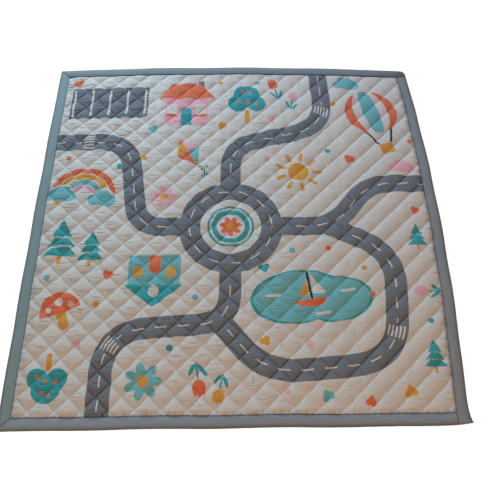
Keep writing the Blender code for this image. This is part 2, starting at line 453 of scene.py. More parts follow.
class PrintedCloth:
    """The distance fields of the inks over the cloth's flat points."""

    def __init__(self, x, y):
        self.x = x
        self.y = y
        self.inks = {name: np.full(len(x), FAR_AWAY) for name in INKS}
        self.lane = np.full(len(x), NO_LANE)
        self.along = np.zeros(len(x))
        self.crossing = np.full(len(x), FAR_AWAY)

    def paint(self, ink, distance):
        """Prints one shape over what is there. The ink named cloth leaves its place bare."""
        for field in self.inks.values():
            np.maximum(field, -distance, out=field)
        if ink != "cloth":
            np.minimum(self.inks[ink], distance, out=self.inks[ink])

    def paint_roads(self):
        routes = {road.name: Route(self.x, self.y, bent_route(road.corners, road.bend)) for road in ROADS}
        circle = Route(self.x, self.y, circle_route(ROUNDABOUT, ROUNDABOUT_RADIUS))
        for route in [*routes.values(), circle]:
            self.paint("slate", route.distance - ROAD_WIDTH / 2)
        nearest = np.full(len(self.x), ROAD_WIDTH)
        for road in ROADS:
            self.mark_lane(routes[road.name], nearest, road.first_dash, road.last_dash)
        self.mark_lane(circle, nearest, 0.0, 0.0)
        for crossing in CROSSINGS:
            route = routes[crossing.road]
            on_road = route.distance < ROAD_WIDTH / 2 + ROAD_FRINGE
            reach = np.abs(route.along - crossing.along) - CROSSING_LENGTH / 2
            self.crossing = np.where(on_road, np.minimum(self.crossing, reach), self.crossing)

    def mark_lane(self, route, nearest, first_dash, last_dash):
        closer = route.distance < nearest
        nearest[closer] = route.distance[closer]
        shown = (route.along > first_dash) & (route.along < route.length - last_dash)
        self.lane = np.where(closer, np.where(shown, route.across, NO_LANE), self.lane)
        self.along = np.where(closer, route.along, self.along)


class Picture:
    """A place on the cloth with its own axes. Its shapes are given in shares of its size."""

    def __init__(self, cloth, x, y, size, turn):
        cosine, sine = math.cos(math.radians(turn)), math.sin(math.radians(turn))
        self.cloth = cloth
        self.size = size
        self.x = ((cloth.x - x) * cosine + (cloth.y - y) * sine) / size
        self.y = ((cloth.y - y) * cosine - (cloth.x - x) * sine) / size

    def paint(self, ink, distance):
        self.cloth.paint(ink, distance * self.size)

    def oval(self, x, y, wide, tall, turn=0):
        cosine, sine = math.cos(math.radians(turn)), math.sin(math.radians(turn))
        right = ((self.x - x) * cosine + (self.y - y) * sine) / wide
        up = ((self.y - y) * cosine - (self.x - x) * sine) / tall
        reach = np.hypot(right, up)
        return (reach - 1) * min(wide, tall)

    def disc(self, x, y, radius):
        return np.hypot(self.x - x, self.y - y) - radius

    def box(self, x, y, wide, tall, corner=0.0):
        right = np.abs(self.x - x) - wide / 2 + corner
        up = np.abs(self.y - y) - tall / 2 + corner
        outside = np.hypot(np.maximum(right, 0), np.maximum(up, 0))
        return outside + np.minimum(np.maximum(right, up), 0) - corner

    def ring(self, x, y, radius, width):
        return np.abs(np.hypot(self.x - x, self.y - y) - radius) - width / 2

    def line(self, start, end, width):
        distance, _, _ = segment_places(self.x, self.y, Vector(start), Vector(end))
        return distance - width / 2

    def polygon(self, *corners):
        """A shape with straight sides, with its corners given anticlockwise, bulging outwards."""
        distance = np.full(len(self.x), -FAR_AWAY * 100)
        for start, end in zip(corners, corners[1:] + corners[:1]):
            step = Vector(end) - Vector(start)
            outwards = ((self.x - start[0]) * step.y - (self.y - start[1]) * step.x) / step.length
            distance = np.maximum(distance, outwards)
        return distance

    def above(self, height):
        return height - self.y


def both(*distances):
    return np.minimum.reduce(distances)


def overlap(*distances):
    return np.maximum.reduce(distances)


def cottage(picture):
    picture.paint("slate", picture.box(0.24, 0.36, 0.10, 0.24))
    picture.paint("pink", picture.box(0, -0.16, 0.72, 0.56))
    picture.paint("red", picture.polygon((-0.48, 0.10), (0.48, 0.10), (0.24, 0.42), (-0.24, 0.42)))
    picture.paint("teal", picture.box(0, -0.26, 0.18, 0.36, corner=0.08))
    picture.paint("teal", picture.box(0, -0.36, 0.18, 0.16))
    for side in (-0.235, 0.235):
        picture.paint("cloth", picture.box(side, -0.12, 0.17, 0.19))
        picture.paint("red", picture.box(side, -0.245, 0.20, 0.05))


def villa(picture):
    picture.paint("sky", picture.box(-0.06, -0.16, 0.80, 0.50))
    picture.paint("teal", picture.polygon((-0.52, 0.09), (0.40, 0.09), (-0.06, 0.46)))
    picture.paint("cloth", picture.disc(-0.06, 0.20, 0.085))
    picture.paint("red", picture.box(-0.06, -0.26, 0.18, 0.30))
    for side in (-0.31, 0.19):
        picture.paint("mustard", picture.box(side, -0.12, 0.14, 0.17))


def round_tree(picture):
    picture.paint("mustard", picture.box(0, -0.34, 0.10, 0.34))
    low = both(picture.disc(-0.19, -0.01, 0.20), picture.disc(0.19, -0.01, 0.20))
    picture.paint("teal", both(picture.disc(0, 0.18, 0.28), low))
    for x, y in ((-0.16, 0.04), (0.08, 0.26), (0.19, -0.04), (-0.06, 0.30), (0.03, 0.03)):
        picture.paint("red", picture.disc(x, y, 0.043))


def fir_tree(picture):
    picture.paint("mustard", picture.box(0, -0.42, 0.09, 0.20))
    for base, wide, top in ((-0.34, 0.33, 0.02), (-0.14, 0.27, 0.22), (0.06, 0.20, 0.46)):
        picture.paint("teal", picture.polygon((-wide, base), (wide, base), (0, top)))
    picture.paint("cloth", picture.line((-0.20, -0.135), (0.20, -0.135), 0.035))
    picture.paint("cloth", picture.line((-0.15, 0.065), (0.15, 0.065), 0.035))


def air_balloon(picture):
    picture.paint("navy", picture.line((-0.19, -0.08), (-0.07, -0.36), 0.026))
    picture.paint("navy", picture.line((0.19, -0.08), (0.07, -0.36), 0.026))
    envelope = picture.oval(0, 0.16, 0.33, 0.34)
    picture.paint("red", envelope)
    picture.paint("cloth", overlap(picture.oval(0, 0.16, 0.215, 0.37), envelope))
    picture.paint("sky", overlap(picture.oval(0, 0.16, 0.10, 0.40), envelope))
    picture.paint("mustard", picture.box(0, -0.42, 0.17, 0.14, corner=0.02))


def rainbow(picture):
    top = picture.above(-0.24)
    for ink, radius in (("red", 0.44), ("mustard", 0.34), ("sky", 0.24), ("pink", 0.14)):
        picture.paint(ink, overlap(picture.ring(0, -0.24, radius, 0.082), top))
    for side in (-0.30, 0.30):
        puffs = both(
            picture.disc(side - 0.11, -0.27, 0.10),
            picture.disc(side, -0.23, 0.13),
            picture.disc(side + 0.11, -0.27, 0.10),
        )
        picture.paint("cloth", puffs - 0.03)
        picture.paint("sky", puffs)


def sun(picture):
    for step in range(9):
        turn = math.tau * step / 9
        start = (0.30 * math.cos(turn), 0.30 * math.sin(turn))
        end = (0.44 * math.cos(turn), 0.44 * math.sin(turn))
        picture.paint("mustard", picture.line(start, end, 0.075))
    picture.paint("mustard", picture.disc(0, 0, 0.21))


def cloud(picture, ink):
    puffs = both(
        picture.disc(-0.28, -0.06, 0.17),
        picture.disc(-0.05, 0.06, 0.24),
        picture.disc(0.22, -0.03, 0.19),
        picture.box(0, -0.15, 0.70, 0.16, corner=0.08),
    )
    picture.paint(ink, puffs)


def daisy(picture, ink):
    for step in range(7):
        turn = 360 * step / 7
        x, y = 0.27 * math.cos(math.radians(turn)), 0.27 * math.sin(math.radians(turn))
        picture.paint(ink, picture.oval(x, y, 0.185, 0.105, turn))
    picture.paint("mustard", picture.disc(0, 0, 0.14))


def tulip(picture, ink):
    picture.paint("teal", picture.line((0, -0.46), (0, 0.05), 0.055))
    picture.paint("teal", picture.oval(-0.13, -0.26, 0.055, 0.19, 32))
    picture.paint("teal", picture.oval(0.13, -0.30, 0.055, 0.17, -32))
    bloom = both(
        picture.oval(0, 0.17, 0.17, 0.20),
        picture.polygon((-0.17, 0.18), (0.0, 0.10), (-0.13, 0.42)),
        picture.polygon((0.17, 0.18), (0.13, 0.42), (0.0, 0.10)),
        picture.polygon((-0.09, 0.20), (0.09, 0.20), (0, 0.44)),
    )
    picture.paint(ink, bloom)


def toadstool(picture):
    picture.paint("mustard", picture.box(0, -0.22, 0.20, 0.42, corner=0.08))
    cap = overlap(picture.oval(0, -0.06, 0.42, 0.44), picture.above(-0.07))
    picture.paint("red", cap)
    for x, y, radius in ((-0.22, 0.06, 0.065), (0.02, 0.17, 0.085), (0.24, 0.04, 0.06)):
        picture.paint("cloth", picture.disc(x, y, radius))


def heart(picture, ink):
    lobes = both(
        picture.disc(-0.20, 0.14, 0.24),
        picture.disc(0.20, 0.14, 0.24),
        picture.polygon((-0.40, 0.02), (0, -0.46), (0.40, 0.02), (0, 0.30)),
    )
    picture.paint(ink, lobes)


def lake(picture):
    water = both(picture.oval(-0.12, 0.02, 0.40, 0.24), picture.oval(0.22, -0.05, 0.30, 0.20))
    picture.paint("teal", water - 0.022)
    picture.paint("sky", water)
    for x, y in ((-0.34, 0.06), (0.34, 0.02), (0.08, -0.17)):
        picture.paint("cloth", picture.line((x - 0.06, y), (x + 0.06, y), 0.028))
    picture.paint("red", picture.polygon((-0.17, -0.02), (-0.11, -0.09), (0.09, -0.09), (0.15, -0.02)))
    picture.paint("navy", picture.line((0, -0.02), (0, 0.25), 0.022))
    picture.paint("cloth", picture.polygon((0.02, 0.02), (0.14, 0.02), (0.02, 0.23)))
    picture.paint("mustard", picture.polygon((-0.02, 0.02), (-0.02, 0.19), (-0.11, 0.02)))


def kite(picture):
    picture.paint("navy", picture.line((0, -0.20), (0.08, -0.32), 0.022))
    picture.paint("navy", picture.line((0.08, -0.32), (0.00, -0.46), 0.022))
    centre = (0, 0.16)
    quarters = (
        ("mustard", ((0, 0.48), (-0.24, 0.16))),
        ("red", ((-0.24, 0.16), (0, -0.22))),
        ("sky", ((0, -0.22), (0.24, 0.16))),
        ("pink", ((0.24, 0.16), (0, 0.48))),
    )
    for ink, (start, end) in quarters:
        picture.paint(ink, picture.polygon(centre, start, end))
    for x, y in ((0.08, -0.32), (0.01, -0.45)):
        picture.paint("teal", picture.polygon((x - 0.07, y + 0.04), (x - 0.07, y - 0.04), (x, y)))
        picture.paint("teal", picture.polygon((x + 0.07, y - 0.04), (x + 0.07, y + 0.04), (x, y)))


def car_park(picture):
    picture.paint("slate", picture.box(0, 0, 1.0, 0.50, corner=0.02))
    for x in (-0.46, -0.23, 0.0, 0.23, 0.46):
        picture.paint("cloth", picture.line((x, -0.20), (x, 0.20), 0.028))


def flower_bed(picture):
    picture.paint("teal", picture.disc(0, 0, 0.50))
    picture.paint("cloth", picture.ring(0, 0, 0.43, 0.045))
    picture.paint("cloth", picture.disc(0, 0, 0.30))
    daisy(Picture(picture.cloth, *ROUNDABOUT, picture.size * 0.56, 12), "red")


def dot(picture, ink):
    picture.paint(ink, picture.disc(0, 0, 0.5))


Placed = namedtuple("Placed", "draw ink x y size turn")
PICTURES = (
    Placed(car_park, None, -0.52, 0.56, 0.32, 0),
    Placed(cottage, None, -0.20, 0.55, 0.25, 0),
    Placed(round_tree, None, 0.05, 0.55, 0.20, 0),
    Placed(tulip, "red", 0.17, 0.63, 0.12, 14),
    Placed(tulip, "pink", 0.24, 0.57, 0.11, -10),
    Placed(air_balloon, None, 0.57, 0.46, 0.32, 12),
    Placed(cloud, "sky", 0.48, 0.66, 0.13, 0),
    Placed(cloud, "pink", 0.64, 0.24, 0.11, 0),
    Placed(sun, None, 0.24, 0.21, 0.19, 0),
    Placed(daisy, "pink", -0.27, 0.10, 0.11, 0),
    Placed(kite, None, -0.17, 0.28, 0.21, 30),
    Placed(rainbow, None, -0.57, 0.17, 0.26, -8),
    Placed(fir_tree, None, -0.63, -0.08, 0.19, 0),
    Placed(fir_tree, None, -0.52, -0.11, 0.15, 0),
    Placed(flower_bed, None, *ROUNDABOUT, 0.17, 0),
    Placed(villa, None, -0.30, -0.24, 0.23, 180),
    Placed(lake, None, 0.26, -0.31, 0.38, 8),
    Placed(toadstool, None, -0.60, -0.35, 0.17, 20),
    Placed(round_tree, None, -0.61, -0.59, 0.17, 180),
    Placed(daisy, "sky", -0.30, -0.60, 0.14, 0),
    Placed(tulip, "red", -0.12, -0.60, 0.13, -172),
    Placed(tulip, "mustard", -0.05, -0.63, 0.11, 168),
    Placed(fir_tree, None, 0.65, -0.07, 0.11, 0),
    Placed(fir_tree, None, 0.66, -0.52, 0.12, 0),
    Placed(tulip, "pink", 0.655, -0.29, 0.11, 90),
)
# Ink, place, size and turn of each heart, and ink, place and size of each dot
HEARTS = (
    ("red", -0.66, 0.665, 0.050, 12),
    ("mustard", -0.05, 0.43, 0.042, -18),
    ("sky", -0.33, 0.42, 0.045, 25),
    ("pink", 0.15, 0.465, 0.042, 8),
    ("red", 0.44, 0.27, 0.048, -20),
    ("mustard", 0.10, -0.47, 0.045, 30),
    ("red", 0.66, 0.04, 0.040, -14),
    ("teal", 0.10, -0.20, 0.046, 16),
    ("sky", 0.30, -0.65, 0.048, -150),
    ("red", 0.44, -0.67, 0.042, 170),
    ("mustard", 0.57, -0.64, 0.050, -165),
    ("pink", -0.53, -0.47, 0.040, 160),
    ("red", -0.45, -0.22, 0.044, -10),
)
DOTS = (
    ("red", -0.65, 0.28, 0.020),
    ("teal", -0.45, 0.24, 0.022),
    ("mustard", -0.36, 0.28, 0.024),
    ("mustard", -0.67, 0.08, 0.020),
    ("pink", 0.12, 0.27, 0.024),
    ("teal", 0.36, 0.31, 0.024),
    ("mustard", 0.41, 0.55, 0.022),
    ("red", 0.69, 0.36, 0.020),
    ("sky", 0.20, -0.13, 0.024),
    ("red", 0.33, -0.12, 0.020),
    ("mustard", 0.45, -0.20, 0.022),
    ("pink", 0.25, -0.48, 0.024),
    ("red", 0.47, -0.30, 0.020),
    ("mustard", -0.48, -0.33, 0.022),
    ("teal", -0.22, -0.49, 0.022),
    ("pink", 0.17, -0.64, 0.022),
    ("sky", -0.14, -0.31, 0.022),
    ("teal", 0.66, -0.40, 0.020),
    ("sky", -0.66, -0.23, 0.022),
    ("sky", 0.10, 0.66, 0.022),
    ("mustard", -0.06, 0.66, 0.022),
)


def paint_pictures(cloth):
    """Prints the pictures, then the hearts and dots between them."""
    small = [Placed(heart, *row) for row in HEARTS] + [Placed(dot, *row, 0) for row in DOTS]
    for placed in [*PICTURES, *small]:
        picture = Picture(cloth, placed.x, placed.y, placed.size, placed.turn)
        if placed.ink:
            placed.draw(picture, placed.ink)
        else:
            placed.draw(picture)


# The mesh of each piece


def sheet_mesh(name, points, columns):
    """A mesh of four sided faces over rows of points, with this many points in each row."""
    rows = len(points) // columns
    first = (np.arange(rows - 1)[:, None] * columns + np.arange(columns - 1)[None, :]).ravel()
    faces = np.stack([first, first + 1, first + columns + 1, first + columns], axis=1)
    mesh = bpy.data.meshes.new(name)
    mesh.from_pydata(points.tolist(), [], faces.tolist())
    return mesh


def set_attribute(mesh, name, values, kind="FLOAT"):
    attribute = mesh.attributes.new(name, kind, "POINT")
    key = "vector" if kind == "FLOAT_VECTOR" else "value"
    attribute.data.foreach_set(key, np.ascontiguousarray(values, dtype=np.float32).ravel())


def new_piece(name, mesh, material):
    mesh.materials.append(material)
    mesh.shade_smooth()
    piece = bpy.data.objects.new(name, mesh)
    bpy.context.scene.collection.objects.link(piece)
    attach(piece, "root")
    return piece


# The folds are deeper at the left, beyond the near edge, and shallower at the right
SLACK_LEFT = 1.1
SLACK_LEFT_FROM = -0.25
SLACK_LEFT_REACH = 0.30
SLACK_NEAR_FROM = -0.50
SLACK_NEAR_REACH = 0.30
SLACK_RIGHT = -0.5
SLACK_RIGHT_FROM = 0.05
SLACK_RIGHT_REACH = 0.35
# How much wider the upright folds spread than the creases that they lie in
FOLDED_UP_SPREAD = 1.6


def set_print_attributes(mesh, x, y, face):
    """What the print needs at each point: its distance from each ink and its place on the roads."""
    cloth = PrintedCloth(x, y)
    cloth.paint_roads()
    paint_pictures(cloth)
    for ink, distance in cloth.inks.items():
        set_attribute(mesh, "ink_" + ink, np.where(face, distance, FAR_AWAY))
    set_attribute(mesh, "lane", cloth.lane)
    set_attribute(mesh, "lane_along", cloth.along)
    set_attribute(mesh, "crossing", cloth.crossing)


def set_cloth_attributes(mesh, x, y, face):
    """What the cloth's finish needs at each point: the shade painted beside the nearest strip, the cool
    light painted beside the near strip, how slack the cloth is, and where it was folded up.
    """
    beside = np.stack([FIELD_HALF + y, FIELD_HALF - x, FIELD_HALF - y, FIELD_HALF + x + LEFT_SEAM_SHADE_SHIFT])
    closest = np.argmin(beside, axis=0)
    set_attribute(mesh, "beside_binding", np.where(face, beside.min(axis=0), FAR_AWAY))
    set_attribute(mesh, "line", np.array(CLOTH_SEAM_SHADES)[closest])
    set_attribute(mesh, "line_width", np.array(CLOTH_SEAM_SHADE_WIDTHS)[closest])
    set_attribute(mesh, "cool_light", np.where(face, ease(1 - (FIELD_HALF + y) / COOL_LIGHT_REACH), 0.0))
    at_left = ease((SLACK_LEFT_FROM - x) / SLACK_LEFT_REACH)
    past_near = ease((y - SLACK_NEAR_FROM) / SLACK_NEAR_REACH)
    at_right = ease((x - SLACK_RIGHT_FROM) / SLACK_RIGHT_REACH)
    set_attribute(mesh, "slack", 1 + SLACK_LEFT * at_left * past_near + SLACK_RIGHT * at_right)
    spread = [(x - crease.x) / (FOLDED_UP_SPREAD * crease.width) for crease in CREASES]
    set_attribute(mesh, "folded_up", sum(np.exp(-(beside_crease**2)) for beside_crease in spread))


def add_quilted_pad(sizes, colours):
    form = flat_pad()
    mesh = bpy.data.meshes.new("quilted_cloth")
    form.to_mesh(mesh)
    form.free()
    flat = np.empty(len(mesh.vertices) * 3, np.float32)
    mesh.vertices.foreach_get("co", flat)
    x, y, level = flat.astype(np.float64).reshape(-1, 3).T
    points = pad_points(x, y, level, sizes)
    mesh.vertices.foreach_set("co", points.astype(np.float32).ravel())
    set_print_attributes(mesh, x, y, level > MARGIN_MIDDLE)
    set_cloth_attributes(mesh, x, y, level > MARGIN_MIDDLE)
    set_attribute(mesh, "flat", np.stack([x, y, level], axis=1), "FLOAT_VECTOR")
    pad = new_piece("quilted_cloth", mesh, printed_cotton(colours))
    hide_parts("quilted_panel")


# The binding: each strip is worked out along the near edge and turned to its own edge

ROW_PITCH = 0.004
NOSE_WIDTH = 0.0034
NOSE_HEIGHT = 0.0057
STRIP_DOME = 0.0032
INNER_EDGE_HEIGHT = 0.0063
STRIP_THICKNESS = 0.0009
STITCH_INSET = 0.0384
# Points of a strip's section below, round and above the blanket's edge, and how far its dome leans
STEPS_BELOW = 5
STEPS_ROUND = 13
STEPS_ABOVE = 18
DOME_LEAN = 0.75

# Waves in the strips, in metres. Each strip adds its own first seed to theirs
FIRST_STRIP_SEED = 20
SEEDS_FOR_EACH_STRIP = 5
WAVE_SLANT = 0.7
LONG_WAVES = Bumps(0.00075, 0.034, 0.020, 0)
SHORT_WAVES = Bumps(0.00030, 0.012, 0.016, 1)
STITCH_GATHERS = Bumps(0.00030, 0.0065, math.inf, 2)
RIM_WAVER = Bumps(0.0002, 0.028, math.inf, 3)
STITCH_GATHER_REACH = 0.005
RIM_WAVER_REACH = 0.004

# Hollows and ridges: how deep they are, in shares of the height or in metres, and how far they reach
Relief = namedtuple("Relief", "depth reach")
STITCH_GROOVE = Relief(0.00080, 0.0012)
MITRE_GROOVE = Relief(0.30, 0.0012)
MITRE_RIDGE = Relief(0.05, 0.005)
TUCKED_END = Relief(0.10, 0.003)
FOLDED_END = Relief(0.45, 0.003)
LAP_STEP = Relief(0.0008, 0.006)
LAP_FROM = 0.024
LAP_REACH = 0.014
TIP_FOLD = Relief(0.0020, 0.0022)
TIP_FOLD_LENGTH = 0.045
TIP_SHELF = Relief(0.0008, 0.012)
TIP_DROP = Relief(0.0034, 0.014)

# Light and shade painted on the far and the near strip
FAR_INNER_SHADE = Relief(0.24, 0.040)
FAR_END_SHADE = Relief(0.18, 0.20)
FAR_END_FROM = -0.50
TIP_SHADE_TINT = (0.90, 0.78, 0.68)
TIP_SHADE_LENGTH = 0.062
TIP_SHADE_EDGE = 0.030
LEFT_END_LIGHT = (0.04, 0.08, 0.08)
LEFT_END_LIGHT_FROM = -0.05
LEFT_END_LIGHT_REACH = 0.30
# By how much the shade painted along a seam is lost where the strip laps over another
LAPPED_SEAM_SHADE_LOST = 0.8
LAPPED_SEAM_SHADE_PAST = 0.002
LAPPED_SEAM_SHADE_EDGE = 0.004

# line is how dark the shade painted along a strip's seam is, and its width is how far that shade reaches
Strip = namedtuple("Strip", "side start_joint end_joint tint line line_width")
# Each strip's tint is the light falling on its side, painted into its colour
STRIPS = (
    Strip("near", "mitre", "under", tint=(1.00, 1.05, 1.18), line=0.40, line_width=0.0032),
    Strip("right", "over", "under", tint=(0.95, 0.96, 1.00), line=0.62, line_width=0.0030),
    Strip("far", "over", "mitre", tint=(1.01, 1.05, 1.09), line=0.12, line_width=0.0060),
    Strip("left", "mitre", "mitre", tint=(0.88, 1.07, 1.09), line=0.55, line_width=0.0024),
)


def strip_section():
    """Insets and heights of the folded strip, from its inner lower edge round to its upper one."""
    below = np.linspace(BINDING_WIDTH, NOSE_WIDTH, STEPS_BELOW)[:-1]
    turn = np.linspace(-math.pi / 2, math.pi / 2, STEPS_ROUND)
    share = np.linspace(0, 1, STEPS_ABOVE)[1:]
    above = NOSE_WIDTH + (BINDING_WIDTH - NOSE_WIDTH) * share
    fall = (NOSE_HEIGHT - INNER_EDGE_HEIGHT) * share
    insets = [below, NOSE_WIDTH * (1 - np.cos(turn)), above]
    dome = STRIP_DOME * np.sin(math.pi * share**DOME_LEAN)
    heights = [below * 0, NOSE_HEIGHT / 2 * (1 + np.sin(turn)), NOSE_HEIGHT + dome - fall]
    return np.concatenate(insets), np.concatenate(heights)


def strip_lengths():
    """The length of cloth round the strip's section, up to each of its points."""
    inset, height = strip_section()
    return np.cumsum(np.hypot(np.diff(inset, prepend=inset[0]), np.diff(height, prepend=height[0])))


def stops_short(joint, inset):
    """How far before the blanket's corner a strip ends, at this inset from its outer edge."""
    if joint == "mitre":
        return inset + GAP / math.sqrt(2)
    return inset * 0 + (BINDING_WIDTH + GAP if joint == "under" else 0.0)


def strip_ends(strip, inset):
    """Where a strip starts and ends along its edge, at this inset."""
    start = -HALF + stops_short(strip.start_joint, inset)
    return start, HALF - stops_short(strip.end_joint, inset)


def fading(relief, distance):
    """A depth that dies out away from where it is full."""
    return relief.depth * np.exp(-distance / relief.reach)


def bell(relief, distance):
    """A depth that is rounded where it is full, and dies out on both sides."""
    return relief.depth * np.exp(-((distance / relief.reach) ** 2))


def joint_shape(joint, beside, from_corner, inset):
    """What a joint does to a strip's height near its end: a factor, and a rise."""
    if joint == "mitre":
        ridge = MITRE_RIDGE.depth * rise_from(beside, MITRE_RIDGE.reach)
        return 1 - (fading(MITRE_GROOVE, beside) - ridge), 0
    if joint == "under":
        return 1 - fading(TUCKED_END, beside), 0
    closed = 1 - FOLDED_END.depth * np.clip(1 - beside / FOLDED_END.reach, 0, 1) ** 2
    over_strip = ease((BINDING_WIDTH + LAP_STEP.reach - from_corner) / LAP_STEP.reach)
    return closed, LAP_STEP.depth * over_strip * ease((inset - LAP_FROM) / LAP_REACH)


def turned_tip(from_corner, inset):
    """How far the far right tip sinks past its slanting fold."""
    past_fold = (inset - from_corner) / math.sqrt(2)
    ridge = bell(TIP_FOLD, past_fold) * ease(1 - from_corner / TIP_FOLD_LENGTH)
    shelf = TIP_SHELF.depth * ease(past_fold / TIP_SHELF.reach)
    return shelf + fading(TIP_DROP, np.hypot(from_corner, inset)) - ridge


def strip_height(strip, seed, along, inset, height):
    """The height of the strip's points: soft waves, the row of stitches and the joints at its ends."""
    start, end = strip_ends(strip, inset)
    upper = np.clip(height / NOSE_HEIGHT * 2 - 1, 0, 1)
    slant = along + inset * WAVE_SLANT
    waves = cloth_noise(slant, inset, LONG_WAVES, seed) + cloth_noise(slant, inset, SHORT_WAVES, seed)
    beside_stitches = np.abs(inset - STITCH_INSET)
    gathers = cloth_noise(along, inset, STITCH_GATHERS, seed)
    gathers = gathers * np.exp(-beside_stitches / STITCH_GATHER_REACH)
    height = height + upper * (waves + gathers - bell(STITCH_GROOVE, beside_stitches))
    for joint, beside, from_corner in (
        (strip.start_joint, along - start, along + HALF),
        (strip.end_joint, end - along, HALF - along),
    ):
        factor, rise = joint_shape(joint, beside, from_corner, inset)
        height = height * factor + rise * upper
    if strip.side == "far":
        height = height - upper * turned_tip(along + HALF, inset)
    return height


def strip_painted_light(strip, along, inset):
    """The light and shade painted on a strip, as a factor of each channel.

    The far strip is painted darker inwards and towards its right end, and browner at its tip, as shade.
    The near one is painted lighter towards its left end.
    """
    tint = np.ones_like(along + inset)[..., None] * np.array(strip.tint)
    if strip.side == "far":
        # Painted shade on the far strip, inwards, towards its right end and at its tip
        tone = 1 - FAR_INNER_SHADE.depth * ease(inset / FAR_INNER_SHADE.reach)
        tone = tone - FAR_END_SHADE.depth * ease((FAR_END_FROM - along) / FAR_END_SHADE.reach)
        edge_shade = ease((TIP_SHADE_LENGTH - (along + HALF)) / TIP_SHADE_EDGE)[..., None]
        tint = tint * tone[..., None] * (1 - edge_shade * (1 - np.array(TIP_SHADE_TINT)))
    if strip.side == "near":
        # Painted light on the near strip, towards its left end
        end_light = ease((LEFT_END_LIGHT_FROM - along) / LEFT_END_LIGHT_REACH)[..., None]
        tint = tint * (1 + end_light * np.array(LEFT_END_LIGHT))
    return tint


def strip_seam_shade(strip, along):
    """How dark the shade painted along a strip's seam is: less where it laps over the end of the next
    strip.
    """
    past_lap = BINDING_WIDTH + LAPPED_SEAM_SHADE_PAST - (along + HALF)
    lapped = ease(past_lap / LAPPED_SEAM_SHADE_EDGE) * (strip.start_joint == "over")
    return strip.line + (1 - strip.line) * LAPPED_SEAM_SHADE_LOST * lapped


def turned_to_edge(along, inset, quarter_turns):
    """The flat place on the blanket of a point on a strip, turned this often from the near edge."""
    x, y = along, inset - HALF
    for _ in range(quarter_turns):
        x, y = -y, x
    return x, y


def strip_points(strip, quarter_turns, along, inset, height):
    """The laid out points of a strip, from places along its edge, insets and heights."""
    seed = FIRST_STRIP_SEED + SEEDS_FOR_EACH_STRIP * quarter_turns
    height = strip_height(strip, seed, along, inset, height)
    waver = cloth_noise(along, inset, RIM_WAVER, seed) * np.exp(-inset / RIM_WAVER_REACH)
    x, y = laid_out(*turned_to_edge(along, inset + waver, quarter_turns))
    return np.stack([x, y, height], axis=-1)


def add_binding(colours):
    inset, height = [row[None, :] for row in strip_section()]
    rows = round((SIDE - BINDING_WIDTH) / ROW_PITCH)
    share = np.linspace(0, 1, rows + 1)[:, None]
    material = binding_cotton(colours)
    round_section = strip_lengths()
    for quarter_turns, strip in enumerate(STRIPS):
        start, end = strip_ends(strip, inset)
        along = start + (end - start) * share
        points = strip_points(strip, quarter_turns, along, inset, height)
        name = f"binding_cloth_{strip.side}"
        mesh = sheet_mesh(name, points.reshape(-1, 3), inset.size)
        mesh.flip_normals()
        flat = np.stack([along, along * 0 + round_section, along * 0 + quarter_turns], axis=-1)
        set_attribute(mesh, "flat", flat, "FLOAT_VECTOR")
        set_attribute(mesh, "tint", strip_painted_light(strip, along, inset), "FLOAT_VECTOR")
        set_attribute(mesh, "line", strip_seam_shade(strip, along))
        set_attribute(mesh, "line_width", along * 0 + strip.line_width)
        piece = new_piece(name, mesh, material)
        layer = piece.modifiers.new("cloth", "SOLIDIFY")
        layer.thickness = STRIP_THICKNESS
        layer.offset = -1
        layer.use_even_offset = True
        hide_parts(f"binding_{strip.side}")


# Stitches

STITCH_SIDES = 6
STITCH_RINGS = 4
BINDING_STITCH_LIFT = 0.00012
QUILTING_STITCH_LIFT = 0.00010
QUILTING_THREAD_SHARE = 0.8
STITCH_MARGIN = 0.002


def round_stitch(length, width):
    """One stitch along X, as a short thread that dips into the cloth at both ends."""
    mesh = bmesh.new()
    bmesh.ops.create_uvsphere(mesh, u_segments=STITCH_SIDES, v_segments=STITCH_RINGS, radius=0.5)
    bmesh.ops.rotate(mesh, verts=mesh.verts, matrix=Matrix.Rotation(math.pi / 2, 3, "Y"))
    bmesh.ops.triangulate(mesh, faces=mesh.faces)
    mesh.verts.index_update()
    points = np.array([vertex.co for vertex in mesh.verts])
    faces = np.array([[vertex.index for vertex in face.verts] for face in mesh.faces])
    mesh.free()
    return points * (length, width, width), faces


def plain_stitch(length, width):
    """One stitch along X with as few faces as it can have, for the many that hold the quilting."""
    ring = [(0, 0.5, 0), (0, 0, 0.5), (0, -0.5, 0), (0, 0, -0.5)]
    points = np.array([(0.5, 0, 0), *ring, (-0.5, 0, 0)])
    sides = [(1, 2), (2, 3), (3, 4), (4, 1)]
    faces = [(0, first, second) for first, second in sides]
    faces += [(5, second, first) for first, second in sides]
    return points * (length, width, width), np.array(faces)


def add_stitches(name, form, ends, lift, colour):
    """Adds copies of one stitch, each between its two ends and lifted a little off the cloth."""
    start, end = [np.concatenate(places) for places in zip(*ends)]
    points, faces = form
    ahead = end - start
    ahead /= np.linalg.norm(ahead, axis=1, keepdims=True)
    side = np.cross(np.array([0.0, 0.0, 1.0]), ahead)
    side /= np.linalg.norm(side, axis=1, keepdims=True)
    frames = np.stack([ahead, side, np.cross(ahead, side)], axis=1)
    middles = (start + end) / 2 + (0, 0, lift)
    copies = np.einsum("pi,nij->npj", points, frames) + middles[:, None, :]
    shifts = np.arange(len(middles))[:, None, None] * len(points)
    faces = (faces[None] + shifts).reshape(-1, 3)
    mesh = bpy.data.meshes.new(name)
    mesh.from_pydata(copies.reshape(-1, 3).tolist(), [], faces.tolist())
    thread = np.broadcast_to(points[None], copies.shape)
    set_attribute(mesh, "flat", thread.reshape(-1, 3), "FLOAT_VECTOR")
    new_piece(name, mesh, thread_material(name.replace("stitches", "thread"), colour))


